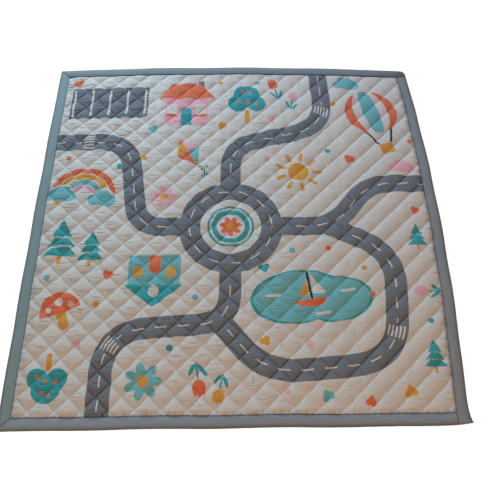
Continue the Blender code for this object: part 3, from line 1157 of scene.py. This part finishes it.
def add_binding_stitches(sizes, colours):
    """The row of stitches that closes each strip along its inner edge."""
    count = round((SIDE - 2 * BINDING_WIDTH) / sizes.binding_stitch_pitch)
    middles = (np.arange(count) + 0.5) / count * 2 * FIELD_HALF - FIELD_HALF
    inset = np.full(count, STITCH_INSET)
    top = strip_section()[1][-2] + inset * 0
    length = sizes.binding_stitch_length
    ends = [
        [strip_points(strip, turns, middles + step * length, inset, top) for step in (-0.5, 0.5)]
        for turns, strip in enumerate(STRIPS)
    ]
    form = round_stitch(length, sizes.thread_width)
    colour = colours.binding_thread
    add_stitches("binding_stitches", form, ends, BINDING_STITCH_LIFT, colour)


def add_quilting_stitches(sizes, colours):
    """Rows of small stitches along all the lines of the quilting."""
    pitch = sizes.quilting_stitch_pitch
    count = math.ceil(SIDE * math.sqrt(2) / QUILT_SQUARE)
    lines = np.arange(-count, count + 1)
    steps = (np.arange(round(2 * count * QUILT_SQUARE / pitch)) + 0.5) * pitch / QUILT_SQUARE - count
    line, step = [grid.ravel() for grid in np.meshgrid(lines, steps)]
    reach = sizes.quilting_stitch_length / 2 / math.sqrt(2)
    ends = []
    for across, up, ahead in ((line, step, (-reach, reach)), (step, line, (reach, reach))):
        x = QUILT_CROSSING[0] + (across - up) * HALF_DIAGONAL
        y = QUILT_CROSSING[1] + (across + up) * HALF_DIAGONAL
        inside = np.maximum(np.abs(x), np.abs(y)) < FIELD_HALF - STITCH_MARGIN
        x, y = x[inside], y[inside]
        level = np.full(len(x), MARGIN_TOP)
        start = pad_points(x - ahead[0], y - ahead[1], level, sizes)
        ends.append((start, pad_points(x + ahead[0], y + ahead[1], level, sizes)))
    width = sizes.thread_width * QUILTING_THREAD_SHARE
    form = plain_stitch(sizes.quilting_stitch_length, width)
    colour = colours.quilting_thread
    add_stitches("quilting_stitches", form, ends, QUILTING_STITCH_LIFT, colour)


# Materials

# Scales of noise, in bumps to the metre, and how noise is stretched along each axis
WEAVE_NOISE = 160.0
FOLD_NOISE = 45.0
DYE_PATCHES = 9.0
SLUB_STRETCH = (160.0, 900.0, 900.0)
BLEED_NOISE = 260.0
WORN_NOISE = 40.0
CREASE_STRETCH = (0.32, 1.0, 1.0)
CLUSTER_STRETCH = (0.5, 0.7, 1.0)
CLUSTER_EDGE = (0.42, 0.58)
CRUMPLE_SCALE = 1.9

WEAVE_UNEVENNESS = 0.0013
SEAM_WIDTH = 0.0028
# How strong the seams that fall to the right are, at the middle of the blanket and at its right
FALLING_SEAM_STRENGTHS = (0.85, 0.12)
CREASE_HALF_WIDTH = 0.030
CRUMPLE_SHARE = 0.7

# The folds in each square: between which heights each lies, and how much it is bent up
FOLD_BANDS = ((-0.030, -0.014), (-0.020, -0.004), (-0.010, 0.008), (-0.004, 0.026))
FOLD_CURL = 9.0
UPRIGHT_FOLDS = 2
UPRIGHT_BAND = (-0.018, 0.018)
UPRIGHT_CURL = 2.0
UPRIGHT_CHANCE_SHIFT = (0.37, 0.61, 0.29)
FOLD_OFFSET = 0.016
FOLD_THICKNESS = 0.0055
FOLD_SHARPNESS = 1.6
FOLD_REACHES = (0.012, 0.029)
FOLD_FULL_SHARE = 0.3
FOLD_SHOWN = (0.25, 0.75)
FOLD_WANDERING = 0.006
LOOSE_EDGE = (0.40, 0.50)

# The gathers beside the binding: across which axis, stretched how for their height and for the shade
# painted in them, and how far that painted shade reaches
Gathers = namedtuple("Gathers", "axis scale shade_scale shade_reach")
EDGE_GATHERS = (
    Gathers("X", (18.0, 95.0, 0.0), (16.0, 62.0, 3.0), 0.036),
    Gathers("Y", (95.0, 18.0, 0.0), (210.0, 12.0, 3.0), 0.016),
)
GATHER_SHADE = 0.32
TICK_EDGE = (0.46, 0.60)

# The print: how softly its inks end, and how far they bleed along the threads
INK_EDGE = 0.0005
INK_BLEED = 0.0016
DASH_EDGE = 0.0004
DASH_START = 0.01
CLEAR_OF_CROSSING = 0.010
BAR_EDGE = (0.22, 0.28)
BAR_END = (0.0065, 0.0060)
# Shade painted into the seams where they cross the slate roads: its share and its colour
SLATE_SEAM_SHADE_SHARE = 0.75
SLATE_SEAM_SHADE_COLOUR = (0.060, 0.060, 0.068, 1.0)

# How high each effect stands on the printed cotton, and how much lighter its seams are painted: partly for
# the white thread, partly as a painted highlight
FACE_FOLD_DEPTH = 0.0028
FACE_GATHER_HEIGHT = 0.0040
FACE_SEAM_DEPTH = 0.0013
SEAM_THREAD_AND_HIGHLIGHT = 1.06

# The shade painted on the binding's rim, from the bottom of its rolled edge
RIM_SHADE_SPAN = (0.001, 0.013)
RIM_SHADE_TINT = (0.58, 0.50, 0.42)
THREAD_TWIST = 0.0005
THREAD_RIDGE = 0.00003
RELIEF_STRENGTH = 0.8
ROUGHNESS_RANGE = 0.05
SEAM_STITCH_GAP = 0.0004


def node(tree, kind, links=None, **settings):
    """Adds a node with its settings. Each of its links is a socket to join, or a value to set."""
    made = tree.nodes.new(kind)
    for name, value in settings.items():
        setattr(made, name, value)
    for name, value in (links or {}).items():
        if isinstance(value, bpy.types.NodeSocket):
            tree.links.new(value, made.inputs[name])
        else:
            made.inputs[name].default_value = value
    return made


def calc(tree, operation, *values):
    return node(tree, "ShaderNodeMath", dict(enumerate(values)), operation=operation).outputs[0]


def product(tree, *values):
    return reduce(lambda first, second: calc(tree, "MULTIPLY", first, second), values)


def total(tree, *values):
    return reduce(lambda first, second: calc(tree, "ADD", first, second), values)


def minus(tree, first, second):
    return calc(tree, "SUBTRACT", first, second)


def away(tree, value, middle):
    """How far a value is from the middle, either way."""
    return calc(tree, "ABSOLUTE", minus(tree, value, middle))


def fade(tree, value, start, end, first=0.0, last=1.0):
    """Runs from first to last while the value runs from start to end."""
    links = {"Value": value, "From Min": start, "From Max": end, "To Min": first, "To Max": last}
    return node(tree, "ShaderNodeMapRange", links).outputs["Result"]


def mixed(tree, share, first, second):
    return node(tree, "ShaderNodeMix", {0: share, 6: first, 7: second}, data_type="RGBA").outputs[2]


def vector_calc(tree, operation, links):
    return node(tree, "ShaderNodeVectorMath", links, operation=operation).outputs[0]


def stretched(tree, vector, scale):
    return vector_calc(tree, "MULTIPLY", {0: vector, 1: scale})


def scaled(tree, colour, factor):
    return vector_calc(tree, "SCALE", {0: colour, "Scale": factor})


def split(tree, vector):
    return node(tree, "ShaderNodeSeparateXYZ", {0: vector}).outputs


def noise(tree, vector, scale, detail=2.0, output="Fac"):
    links = {"Vector": vector, "Scale": scale, "Detail": detail}
    return node(tree, "ShaderNodeTexNoise", links).outputs[output]


def wandering(tree, place, scale, detail, reach):
    """The place, moved unevenly by up to this reach along each axis."""
    shift = stretched(tree, noise(tree, place, scale, detail, "Color"), (reach,) * 3)
    return vector_calc(tree, "ADD", {0: place, 1: shift})


def attribute(tree, name, output="Fac"):
    return node(tree, "ShaderNodeAttribute", attribute_name=name).outputs[output]


# The kind of a socket, from how many numbers its default has
SOCKET_KINDS = {1: "NodeSocketFloat", 3: "NodeSocketVector", 4: "NodeSocketColor"}


def new_group(name, inputs, outputs=("Height",)):
    """A shader node group that works on the cloth's flat place. Returns it with its inputs."""
    tree = bpy.data.node_groups.new(name, "ShaderNodeTree")
    for label, default in {"Cloth": (0.0, 0.0, 0.0), **inputs}.items():
        kind = SOCKET_KINDS[np.size(default)]
        socket = tree.interface.new_socket(label, in_out="INPUT", socket_type=kind)
        socket.default_value = default
    for label in outputs:
        kind = "NodeSocketColor" if label == "Colour" else "NodeSocketFloat"
        tree.interface.new_socket(label, in_out="OUTPUT", socket_type=kind)
    return tree, tree.nodes.new("NodeGroupInput").outputs


def put_out(tree, *values):
    """Joins the values to the group's outputs, in order, and returns the group."""
    result = tree.nodes.new("NodeGroupOutput")
    for value, socket in zip(values, result.inputs):
        tree.links.new(value, socket)
    return tree


def group(tree, name, links):
    """Places a group, built the first time. Returns its output, or all where it has several."""
    made = bpy.data.node_groups.get(name) or GROUPS[name](name)
    outputs = node(tree, "ShaderNodeGroup", links, node_tree=made).outputs
    return outputs if len(outputs) > 1 else outputs[0]


def plain_weave(name):
    """The threads of a plain woven cotton, each going over and under the next."""
    tree, given = new_group(name, {"Thread Width": 0.0007})
    axes = split(tree, wandering(tree, given["Cloth"], WEAVE_NOISE, 1.0, WEAVE_UNEVENNESS))
    waves = []
    for axis in ("X", "Y"):
        turns = calc(tree, "DIVIDE", axes[axis], given["Thread Width"])
        waves.append(calc(tree, "SINE", product(tree, turns, math.pi)))
    over = product(tree, *waves)
    warp = total(tree, calc(tree, "ABSOLUTE", waves[0]), over)
    weft = minus(tree, calc(tree, "ABSOLUTE", waves[1]), over)
    return put_out(tree, product(tree, calc(tree, "MAXIMUM", warp, weft), 0.5))


def soft_creases(name):
    """Thin, level folds that come and go, with soft crumples between them. Its height is in shares."""
    tree, given = new_group(name, {"Size": 0.02})
    scale = calc(tree, "DIVIDE", 1.0, given["Size"])
    place = noise(tree, stretched(tree, given["Cloth"], CREASE_STRETCH), scale, 1.5)
    crease = fade(tree, away(tree, place, 0.5), 0.0, CREASE_HALF_WIDTH, 1.0, 0.0)
    clusters = noise(tree, stretched(tree, given["Cloth"], CLUSTER_STRETCH), scale, 1.0)
    folds = product(tree, crease, fade(tree, clusters, *CLUSTER_EDGE), -1.0)
    crumple = noise(tree, given["Cloth"], product(tree, scale, CRUMPLE_SCALE))
    return put_out(tree, total(tree, folds, product(tree, crumple, CRUMPLE_SHARE)))


def quilt_axes(tree, place, shift=0.0):
    """The place among the quilting squares, as in quilt_place()."""
    axes = split(tree, place)
    x = minus(tree, axes["X"], QUILT_CROSSING[0] + shift)
    y = minus(tree, axes["Y"], QUILT_CROSSING[1] + shift)
    across = product(tree, total(tree, x, y), QUILT_SCALE)
    return across, product(tree, minus(tree, y, x), QUILT_SCALE)


def seam_lines(name):
    """The narrow grooves along the lines of quilting, from 0 beside them to 1 at the stitches."""
    tree, given = new_group(name, {}, ("Line",))
    across = split(tree, given["Cloth"])["X"]
    falling = fade(tree, across, 0.0, FIELD_HALF, *FALLING_SEAM_STRENGTHS)
    lines = []
    for place, strength in zip(quilt_axes(tree, given["Cloth"]), (falling, 1.0)):
        share = minus(tree, calc(tree, "FRACT", total(tree, place, 0.5)), 0.5)
        beside = product(tree, share, QUILT_SQUARE / SEAM_WIDTH)
        groove = calc(tree, "EXPONENT", product(tree, beside, beside, -1.0))
        lines.append(product(tree, groove, strength))
    return put_out(tree, calc(tree, "MAXIMUM", *lines))


def fold(tree, along, across, chance, band, curl):
    """One short fold, as a mask: it runs along one axis, within a band across, bent up at its ends."""
    chances = split(tree, chance)
    middle = fade(tree, chances["X"], 0.0, 1.0, -FOLD_OFFSET, FOLD_OFFSET)
    from_middle = minus(tree, along, middle)
    bent = product(tree, from_middle, from_middle, curl)
    line = total(tree, fade(tree, chances["Y"], 0.0, 1.0, *band), bent)
    edge = fade(tree, away(tree, across, line), 0.0, FOLD_THICKNESS, 1.0, 0.0)
    reach = fade(tree, chances["Y"], 0.0, 1.0, *FOLD_REACHES)
    from_middle = calc(tree, "ABSOLUTE", from_middle)
    full = product(tree, reach, FOLD_FULL_SHARE)
    ends = fade(tree, from_middle, full, reach, 1.0, 0.0)
    shown = fade(tree, chances["Z"], *FOLD_SHOWN)
    return product(tree, calc(tree, "POWER", edge, FOLD_SHARPNESS), ends, shown)


def quilt_folds(name):
    """The folds in each quilted square: level ones, and upright ones where it was folded up."""
    tree, given = new_group(name, {"Upright": 0.0, "Depth": 0.001})
    place = wandering(tree, given["Cloth"], FOLD_NOISE, 2.0, FOLD_WANDERING)
    places = quilt_axes(tree, place, FOLD_WANDERING / 2)
    column, row = [calc(tree, "FLOOR", axis) for axis in places]
    beside, ahead = [
        minus(tree, minus(tree, axis, square), 0.5) for axis, square in zip(places, (column, row))
    ]
    level = product(tree, minus(tree, beside, ahead), HALF_DIAGONAL)
    upright = product(tree, total(tree, beside, ahead), HALF_DIAGONAL)
    folds = []
    for seed, band in enumerate(FOLD_BANDS):
        links = {"X": column, "Y": row, "Z": seed + 0.5}
        square = node(tree, "ShaderNodeCombineXYZ", links).outputs[0]
        chance = node(tree, "ShaderNodeTexWhiteNoise", {"Vector": square}).outputs["Color"]
        folds.append(fold(tree, level, upright, chance, band, FOLD_CURL))
        if seed < UPRIGHT_FOLDS:
            other = vector_calc(tree, "ADD", {0: chance, 1: UPRIGHT_CHANCE_SHIFT})
            other = vector_calc(tree, "FRACTION", {0: other})
            standing = fold(tree, upright, level, other, UPRIGHT_BAND, UPRIGHT_CURL)
            folds.append(product(tree, standing, given["Upright"]))
    sides = [calc(tree, "ABSOLUTE", side) for side in (beside, ahead)]
    loose = fade(tree, calc(tree, "MAXIMUM", *sides), *LOOSE_EDGE, 1.0, 0.0)
    height = product(tree, total(tree, *folds), loose, product(tree, given["Depth"], -1.0))
    return put_out(tree, height)


def edge_puckers(name):
    """Fine gathers that run square to the binding and die out away from it, in shares, with the shade
    painted in their narrow folds.
    """
    tree, given = new_group(name, {"Reach": 0.02}, ("Height", "Shade"))
    axes = split(tree, given["Cloth"])
    heights, shades = [], []
    for gathers in EDGE_GATHERS:
        beside = minus(tree, FIELD_HALF, calc(tree, "ABSOLUTE", axes[gathers.axis]))
        near = fade(tree, beside, 0.0, given["Reach"], 1.0, 0.0)
        bumps = noise(tree, stretched(tree, given["Cloth"], gathers.scale), 1.0, 1.5)
        heights.append(product(tree, bumps, near))
        ticks = noise(tree, stretched(tree, given["Cloth"], gathers.shade_scale), 1.0, 1.0)
        strength = fade(tree, beside, 0.0, gathers.shade_reach, GATHER_SHADE, 0.0)
        # Painted shade in the narrow gathers
        dark = product(tree, fade(tree, ticks, *TICK_EDGE), strength)
        shades.append(minus(tree, 1.0, dark))
    return put_out(tree, total(tree, *heights), product(tree, *shades))


def cotton_tone(name):
    """Uneven dye and slubs: a colour made a little lighter and darker from place to place."""
    inputs = {"Colour": (0.5, 0.5, 0.5, 1.0), "Amount": 0.08}
    tree, given = new_group(name, inputs, ("Colour",))
    patches = noise(tree, given["Cloth"], DYE_PATCHES)
    slubs = noise(tree, stretched(tree, given["Cloth"], SLUB_STRETCH), 1.0)
    halves = [product(tree, part, 0.5) for part in (patches, slubs)]
    centred = minus(tree, total(tree, *halves), 0.5)
    change = product(tree, centred, product(tree, given["Amount"], 2.0))
    return put_out(tree, scaled(tree, given["Colour"], total(tree, change, 1.0)))


GROUPS = {
    "plain_weave": plain_weave,
    "soft_creases": soft_creases,
    "seam_lines": seam_lines,
    "quilt_folds": quilt_folds,
    "edge_puckers": edge_puckers,
    "cotton_tone": cotton_tone,
}


def new_material(name):
    material = bpy.data.materials.new(name)
    material.use_nodes = True
    tree = material.node_tree
    return material, tree, tree.nodes["Principled BSDF"]


def finish_cotton(tree, shader, colour, heights, roughness):
    """Joins a cotton's colour, its relief in metres and its uneven roughness to the shader."""
    links = {"Height": total(tree, *heights), "Strength": RELIEF_STRENGTH, "Distance": 1.0}
    bump = node(tree, "ShaderNodeBump", links)
    tree.links.new(colour, shader.inputs["Base Color"])
    tree.links.new(bump.outputs["Normal"], shader.inputs["Normal"])
    worn = noise(tree, attribute(tree, "flat", "Vector"), WORN_NOISE)
    worn = fade(tree, worn, 0.3, 0.7, roughness - ROUGHNESS_RANGE, roughness + ROUGHNESS_RANGE)
    tree.links.new(worn, shader.inputs["Roughness"])
    shader.inputs["Sheen Weight"].default_value = 0.12
    shader.inputs["Sheen Roughness"].default_value = 0.5
    shader.inputs["Specular IOR Level"].default_value = 0.25


def weave_and_creases(tree, thread, weave_height, crease_size, crease_height):
    """The heights, in metres, of a cotton's weave and of its soft creases."""
    cloth = attribute(tree, "flat", "Vector")
    weave = group(tree, "plain_weave", {"Cloth": cloth, "Thread Width": thread})
    creases = group(tree, "soft_creases", {"Cloth": cloth, "Size": crease_size})
    return [product(tree, weave, weave_height), product(tree, creases, crease_height)]


def road_paint(tree, bleed):
    """Where the white dashes and the crossing bars are, on the roads."""
    across = attribute(tree, "lane")
    along = attribute(tree, "lane_along")
    crossing = attribute(tree, "crossing")
    from_lane = calc(tree, "ABSOLUTE", across)
    beside = total(tree, from_lane, bleed)
    line = fade(tree, beside, DASH_WIDTH / 2 - DASH_EDGE, DASH_WIDTH / 2 + DASH_EDGE, 1.0, 0.0)
    pitches = calc(tree, "FRACT", calc(tree, "DIVIDE", along, DASH_PITCH))
    middle = DASH_LENGTH / 2 + DASH_START
    from_middle = away(tree, product(tree, pitches, DASH_PITCH), middle)
    ends = (DASH_LENGTH / 2 - INK_EDGE, DASH_LENGTH / 2 + INK_EDGE)
    dash = fade(tree, from_middle, *ends, 1.0, 0.0)
    dashes = product(tree, line, dash, calc(tree, "GREATER_THAN", crossing, CLEAR_OF_CROSSING))
    bar_place = total(tree, calc(tree, "DIVIDE", across, CROSSING_BAR), 0.5)
    bar = fade(tree, away(tree, calc(tree, "FRACT", bar_place), 0.5), *BAR_EDGE, 1.0, 0.0)
    bar_ends = [ROAD_WIDTH / 2 - short for short in BAR_END]
    within = fade(tree, from_lane, *bar_ends, 1.0, 0.0)
    bars = product(tree, bar, within, fade(tree, crossing, -INK_EDGE, INK_EDGE, 1.0, 0.0))
    return calc(tree, "MAXIMUM", dashes, bars)


def printed_colour(tree, colours, seam):
    """The cloth's colour with each ink over it, and shade painted into the seams on the slate."""
    wander = noise(tree, attribute(tree, "flat", "Vector"), BLEED_NOISE, 1.0)
    bleed = product(tree, minus(tree, wander, 0.5), INK_BLEED)
    colour = (*colours.cloth, 1.0)
    for ink in INKS:
        distance = total(tree, attribute(tree, "ink_" + ink), bleed)
        mask = fade(tree, distance, -INK_EDGE, INK_EDGE, 1.0, 0.0)
        tone = (*getattr(colours, ink), 1.0)
        if ink == "slate":
            mask = product(tree, mask, minus(tree, 1.0, road_paint(tree, bleed)))
            # Painted shade in the seams on the slate
            seam_shade_share = product(tree, seam, SLATE_SEAM_SHADE_SHARE)
            tone = mixed(tree, seam_shade_share, tone, SLATE_SEAM_SHADE_COLOUR)
        colour = mixed(tree, mask, colour, tone)
    return colour


def printed_cotton(colours):
    """White cotton with its print, tone and relief, and with light and shade painted into its colour."""
    material, tree, shader = new_material("printed_cotton")
    cloth = attribute(tree, "flat", "Vector")
    seam = group(tree, "seam_lines", {"Cloth": cloth})
    colour = printed_colour(tree, colours, seam)
    toned = group(tree, "cotton_tone", {"Colour": colour, "Cloth": cloth, "Amount": 0.10})
    beside = attribute(tree, "beside_binding")
    line_width = attribute(tree, "line_width")
    # Painted shade in the seam beside the binding
    binding_seam_shade = fade(tree, beside, 0.0, line_width, attribute(tree, "line"), 1.0)
    gathered = group(tree, "edge_puckers", {"Cloth": cloth, "Reach": 0.030})
    # The seams painted lighter: partly the white thread, partly a painted highlight
    seam_thread_and_highlight = fade(tree, seam, 0.0, 1.0, 1.0, SEAM_THREAD_AND_HIGHLIGHT)
    shaded = scaled(tree, toned, product(tree, seam_thread_and_highlight, binding_seam_shade, gathered["Shade"]))
    # Painted cool light beside the near strip
    shaded = mixed(tree, attribute(tree, "cool_light"), shaded, stretched(tree, shaded, COOL_LIGHT_TINT))
    depth = product(tree, attribute(tree, "slack"), FACE_FOLD_DEPTH)
    folds = {"Cloth": cloth, "Upright": attribute(tree, "folded_up"), "Depth": depth}
    heights = weave_and_creases(
        tree, thread=0.0007, weave_height=0.00005, crease_size=0.020, crease_height=0.0006
    )
    heights.append(group(tree, "quilt_folds", folds))
    heights.append(product(tree, gathered["Height"], FACE_GATHER_HEIGHT))
    heights.append(product(tree, seam, -FACE_SEAM_DEPTH))
    finish_cotton(tree, shader, shaded, heights, roughness=0.88)
    return material


def binding_cotton(colours):
    """The binding's dyed cotton, closer woven than the face, with light and shade painted into its colour.
    """
    material, tree, shader = new_material("binding_cotton")
    cloth = attribute(tree, "flat", "Vector")
    dye = (*colours.binding, 1.0)
    toned = group(tree, "cotton_tone", {"Colour": dye, "Cloth": cloth, "Amount": 0.14})
    around = split(tree, cloth)["Y"]
    from_edge = minus(tree, float(strip_lengths()[-1]), around)
    line_width = attribute(tree, "line_width")
    # Painted shade along the strip's seam with the cloth
    binding_seam_shade = fade(tree, from_edge, SEAM_STITCH_GAP, line_width, attribute(tree, "line"), 1.0)
    # Painted light and shade: each strip's tint, and the shade along its seam
    shaded = scaled(tree, stretched(tree, toned, attribute(tree, "tint", "Vector")), binding_seam_shade)
    # Painted shade on the rolled rim of the binding
    from_rim = minus(tree, around, BINDING_WIDTH - NOSE_WIDTH + NOSE_HEIGHT)
    edge_shade = fade(tree, from_rim, *RIM_SHADE_SPAN, 1.0, 0.0)
    shaded = mixed(tree, edge_shade, shaded, stretched(tree, shaded, RIM_SHADE_TINT))
    heights = weave_and_creases(
        tree, thread=0.0006, weave_height=0.00006, crease_size=0.016, crease_height=0.0004
    )
    finish_cotton(tree, shader, shaded, heights, roughness=0.85)
    return material


def thread_material(name, colour):
    """A twisted thread: slanting ridges round each stitch."""
    material, tree, shader = new_material(name)
    cloth = attribute(tree, "flat", "Vector")
    axes = split(tree, cloth)
    slant = total(tree, axes["X"], axes["Y"])
    ridges = calc(tree, "SINE", product(tree, slant, math.tau / THREAD_TWIST))
    toned = group(tree, "cotton_tone", {"Colour": (*colour, 1.0), "Cloth": cloth, "Amount": 0.12})
    heights = [product(tree, ridges, THREAD_RIDGE)]
    finish_cotton(tree, shader, toned, heights, roughness=0.7)
    return material


# Camera, lights and floor

CAMERA_PLACE = (0.0201, -0.9834, 1.7862)
CAMERA_PITCH = 64.137
CAMERA_YAW = 2.538
CAMERA_ROLL = 1.93
CAMERA_LENS = 38.74
SENSOR_WIDTH = 36.0
FLOOR_DROP = 0.0003
FLOOR_HALF = 6.0
FLOOR_BOUNCE = (0.12, 0.09, 0.07, 1.0)

# Each lamp's falloff is the name of an output of the Light Falloff node
Lamp = namedtuple("Lamp", "name place aim size power falloff colour")
LAMPS = (
    Lamp("window", (-0.90, 1.60, 0.70), (0.4, -0.60, 0.10), 0.5, 8.1, "Linear", (0.82, 0.96, 1.0)),
    Lamp("sky", (-1.20, 1.50, 1.80), (-0.3, 0.2, 0.0), 1.4, 18.7, "Quadratic", (0.0, 0.55, 1.0)),
    Lamp("room", (0.20, -2.20, 1.20), (0.1, -0.3, 0.0), 1.4, 8.8, "Quadratic", (1.0, 0.27, 0.0)),
    Lamp("far", (0.90, 1.90, 1.10), (0.3, 0.3, 0.0), 0.9, 4.9, "Quadratic", (0.0, 0.09, 1.0)),
)
WORLD_COLOUR = (1.0, 0.85, 0.62)
WORLD_STRENGTH = 0.435


def add_camera():
    data = bpy.data.cameras.new("camera")
    data.lens = CAMERA_LENS
    data.sensor_width = SENSOR_WIDTH
    camera = bpy.data.objects.new("camera", data)
    yaw = Matrix.Rotation(-math.radians(CAMERA_YAW), 4, "Z")
    pitch = Matrix.Rotation(math.radians(90 - CAMERA_PITCH), 4, "X")
    roll = Matrix.Rotation(math.radians(CAMERA_ROLL), 4, "Z")
    camera.matrix_world = Matrix.Translation(CAMERA_PLACE) @ yaw @ pitch @ roll
    bpy.context.scene.collection.objects.link(camera)
    bpy.context.scene.camera = camera


def add_lamp(lamp):
    data = bpy.data.lights.new(lamp.name, "AREA")
    data.shape = "DISK"
    data.size = lamp.size
    data.energy = lamp.power
    data.color = lamp.colour
    data.use_nodes = True
    tree = data.node_tree
    reach = node(tree, "ShaderNodeLightFalloff", {"Strength": 1.0}).outputs[lamp.falloff]
    tree.links.new(reach, tree.nodes["Emission"].inputs["Strength"])
    item = bpy.data.objects.new(lamp.name, data)
    item.location = lamp.place
    item.rotation_euler = (Vector(lamp.aim) - Vector(lamp.place)).to_track_quat("-Z", "Y").to_euler()
    bpy.context.scene.collection.objects.link(item)


def add_floor():
    """A pale floor: white to the camera, and dim in the light that it throws back on the cloth."""
    form = bmesh.new()
    bmesh.ops.create_grid(form, x_segments=4, y_segments=4, size=FLOOR_HALF)
    mesh = bpy.data.meshes.new("floor")
    form.to_mesh(mesh)
    form.free()
    material, tree, shader = new_material("pale_floor")
    shader.inputs["Base Color"].default_value = FLOOR_BOUNCE
    shader.inputs["Roughness"].default_value = 0.9
    shader.inputs["Emission Color"].default_value = (1.0, 1.0, 1.0, 1.0)
    seen = node(tree, "ShaderNodeLightPath").outputs["Is Camera Ray"]
    tree.links.new(seen, shader.inputs["Emission Strength"])
    mesh.materials.append(material)
    floor = bpy.data.objects.new("floor", mesh)
    floor.location.z = -FLOOR_DROP
    bpy.context.scene.collection.objects.link(floor)


def add_world():
    world = bpy.data.worlds.new("studio")
    world.use_nodes = True
    background = world.node_tree.nodes["Background"]
    background.inputs["Color"].default_value = (*WORLD_COLOUR, 1.0)
    background.inputs["Strength"].default_value = WORLD_STRENGTH
    bpy.context.scene.world = world
    bpy.context.scene.view_settings.view_transform = "Standard"


# The add-on's settings, operators and panel


def length_property(name, description, default, **limits):
    return FloatProperty(name=name, description=description, default=default, unit="LENGTH", **limits)


class BlanketSizes(bpy.types.PropertyGroup):
    crown_height: length_property(
        "Crown Height", "How far the middle of a square rises over its stitches", 0.0098, min=0.0, max=0.02
    )
    pucker_height: length_property(
        "Pucker Height", "Height of the small gathers beside the stitches", 0.0007, min=0.0, max=0.003
    )
    thread_width: length_property(
        "Thread Width", "Thickness of the sewing thread", 0.0005, min=0.0001
    )
    binding_stitch_pitch: length_property(
        "Binding Stitch Pitch", "From one stitch of the binding to the next", 0.0040, min=0.001
    )
    binding_stitch_length: length_property(
        "Binding Stitch Length", "Thread that shows in each stitch of the binding", 0.0031, min=0.001
    )
    quilting_stitch_pitch: length_property(
        "Quilting Stitch Pitch", "From one stitch of the quilting to the next", 0.0034, min=0.001
    )
    quilting_stitch_length: length_property(
        "Quilting Stitch Length", "Thread that shows in each stitch of the quilting", 0.0026, min=0.001
    )


def colour_property(name, description, default):
    settings = {"size": 3, "min": 0.0, "max": 1.0, "subtype": "COLOR"}
    return FloatVectorProperty(name=name, description=description, default=default, **settings)


class BlanketColours(bpy.types.PropertyGroup):
    cloth: colour_property("Cloth", "The unprinted cotton of the face", (0.66, 0.64, 0.62))
    slate: colour_property("Slate", "Ink of the roads", (0.172, 0.200, 0.240))
    teal: colour_property("Teal", "Ink of the trees and leaves", (0.045, 0.344, 0.391))
    sky: colour_property("Sky", "Ink of the water and clouds", (0.164, 0.456, 0.507))
    pink: colour_property("Pink", "Ink of walls and petals", (0.78, 0.42, 0.50))
    red: colour_property("Red", "Ink of roofs and hearts", (0.73, 0.174, 0.084))
    mustard: colour_property("Mustard", "Ink of the sun and trunks", (0.69, 0.334, 0.06))
    navy: colour_property("Navy", "Ink of fine lines", (0.02, 0.025, 0.03))
    binding: colour_property("Binding", "The dyed cotton round the edge", (0.262, 0.300, 0.325))
    binding_thread: colour_property("Binding Thread", "Thread along the binding", (0.05, 0.055, 0.065))
    quilting_thread: colour_property("Quilting Thread", "Thread of the quilting", (0.70, 0.70, 0.71))


class BLANKET_OT_quilted_pad(bpy.types.Operator):
    """Add the quilted pad with its printed face"""

    bl_idname = "play_blanket.quilted_pad"
    bl_label = "Quilted Pad"

    def execute(self, context):
        add_quilted_pad(context.scene.blanket_sizes, context.scene.blanket_colours)
        return {"FINISHED"}


class BLANKET_OT_binding(bpy.types.Operator):
    """Add the four strips of binding round the pad"""

    bl_idname = "play_blanket.binding"
    bl_label = "Binding"

    def execute(self, context):
        add_binding(context.scene.blanket_colours)
        return {"FINISHED"}


class BLANKET_OT_binding_stitches(bpy.types.Operator):
    """Add the stitches along the binding's inner edge"""

    bl_idname = "play_blanket.binding_stitches"
    bl_label = "Binding Stitches"

    def execute(self, context):
        add_binding_stitches(context.scene.blanket_sizes, context.scene.blanket_colours)
        return {"FINISHED"}


class BLANKET_OT_quilting_stitches(bpy.types.Operator):
    """Add the stitches of the quilting"""

    bl_idname = "play_blanket.quilting_stitches"
    bl_label = "Quilting Stitches"

    def execute(self, context):
        add_quilting_stitches(context.scene.blanket_sizes, context.scene.blanket_colours)
        return {"FINISHED"}


class BLANKET_OT_stage(bpy.types.Operator):
    """Add the camera, the lamps and the pale floor"""

    bl_idname = "play_blanket.stage"
    bl_label = "Stage"

    def execute(self, context):
        add_camera()
        add_floor()
        add_world()
        for lamp in LAMPS:
            add_lamp(lamp)
        return {"FINISHED"}


OPERATORS = (
    BLANKET_OT_quilted_pad,
    BLANKET_OT_binding,
    BLANKET_OT_binding_stitches,
    BLANKET_OT_quilting_stitches,
    BLANKET_OT_stage,
)


class BLANKET_PT_pieces(bpy.types.Panel):
    """The play blanket's pieces, sizes and colours"""

    bl_label = "Play Blanket"
    bl_space_type = "VIEW_3D"
    bl_region_type = "UI"
    bl_category = "Play Blanket"

    def draw(self, context):
        for operator in OPERATORS:
            self.layout.operator(operator.bl_idname)
        for settings in (context.scene.blanket_sizes, context.scene.blanket_colours):
            column = self.layout.column(align=True)
            for name in settings.__annotations__:
                column.prop(settings, name)


CLASSES = (BlanketSizes, BlanketColours, *OPERATORS, BLANKET_PT_pieces)


def register():
    for item in CLASSES:
        bpy.utils.register_class(item)
    bpy.types.Scene.blanket_sizes = PointerProperty(type=BlanketSizes)
    bpy.types.Scene.blanket_colours = PointerProperty(type=BlanketColours)


def unregister():
    del bpy.types.Scene.blanket_colours
    del bpy.types.Scene.blanket_sizes
    for item in reversed(CLASSES):
        bpy.utils.unregister_class(item)


def main():
    register()
    bpy.ops.play_blanket.stage()
    bpy.ops.play_blanket.quilted_pad()
    bpy.ops.play_blanket.binding()
    bpy.ops.play_blanket.binding_stitches()
    bpy.ops.play_blanket.quilting_stitches()


if __name__ == "__main__":
    main()
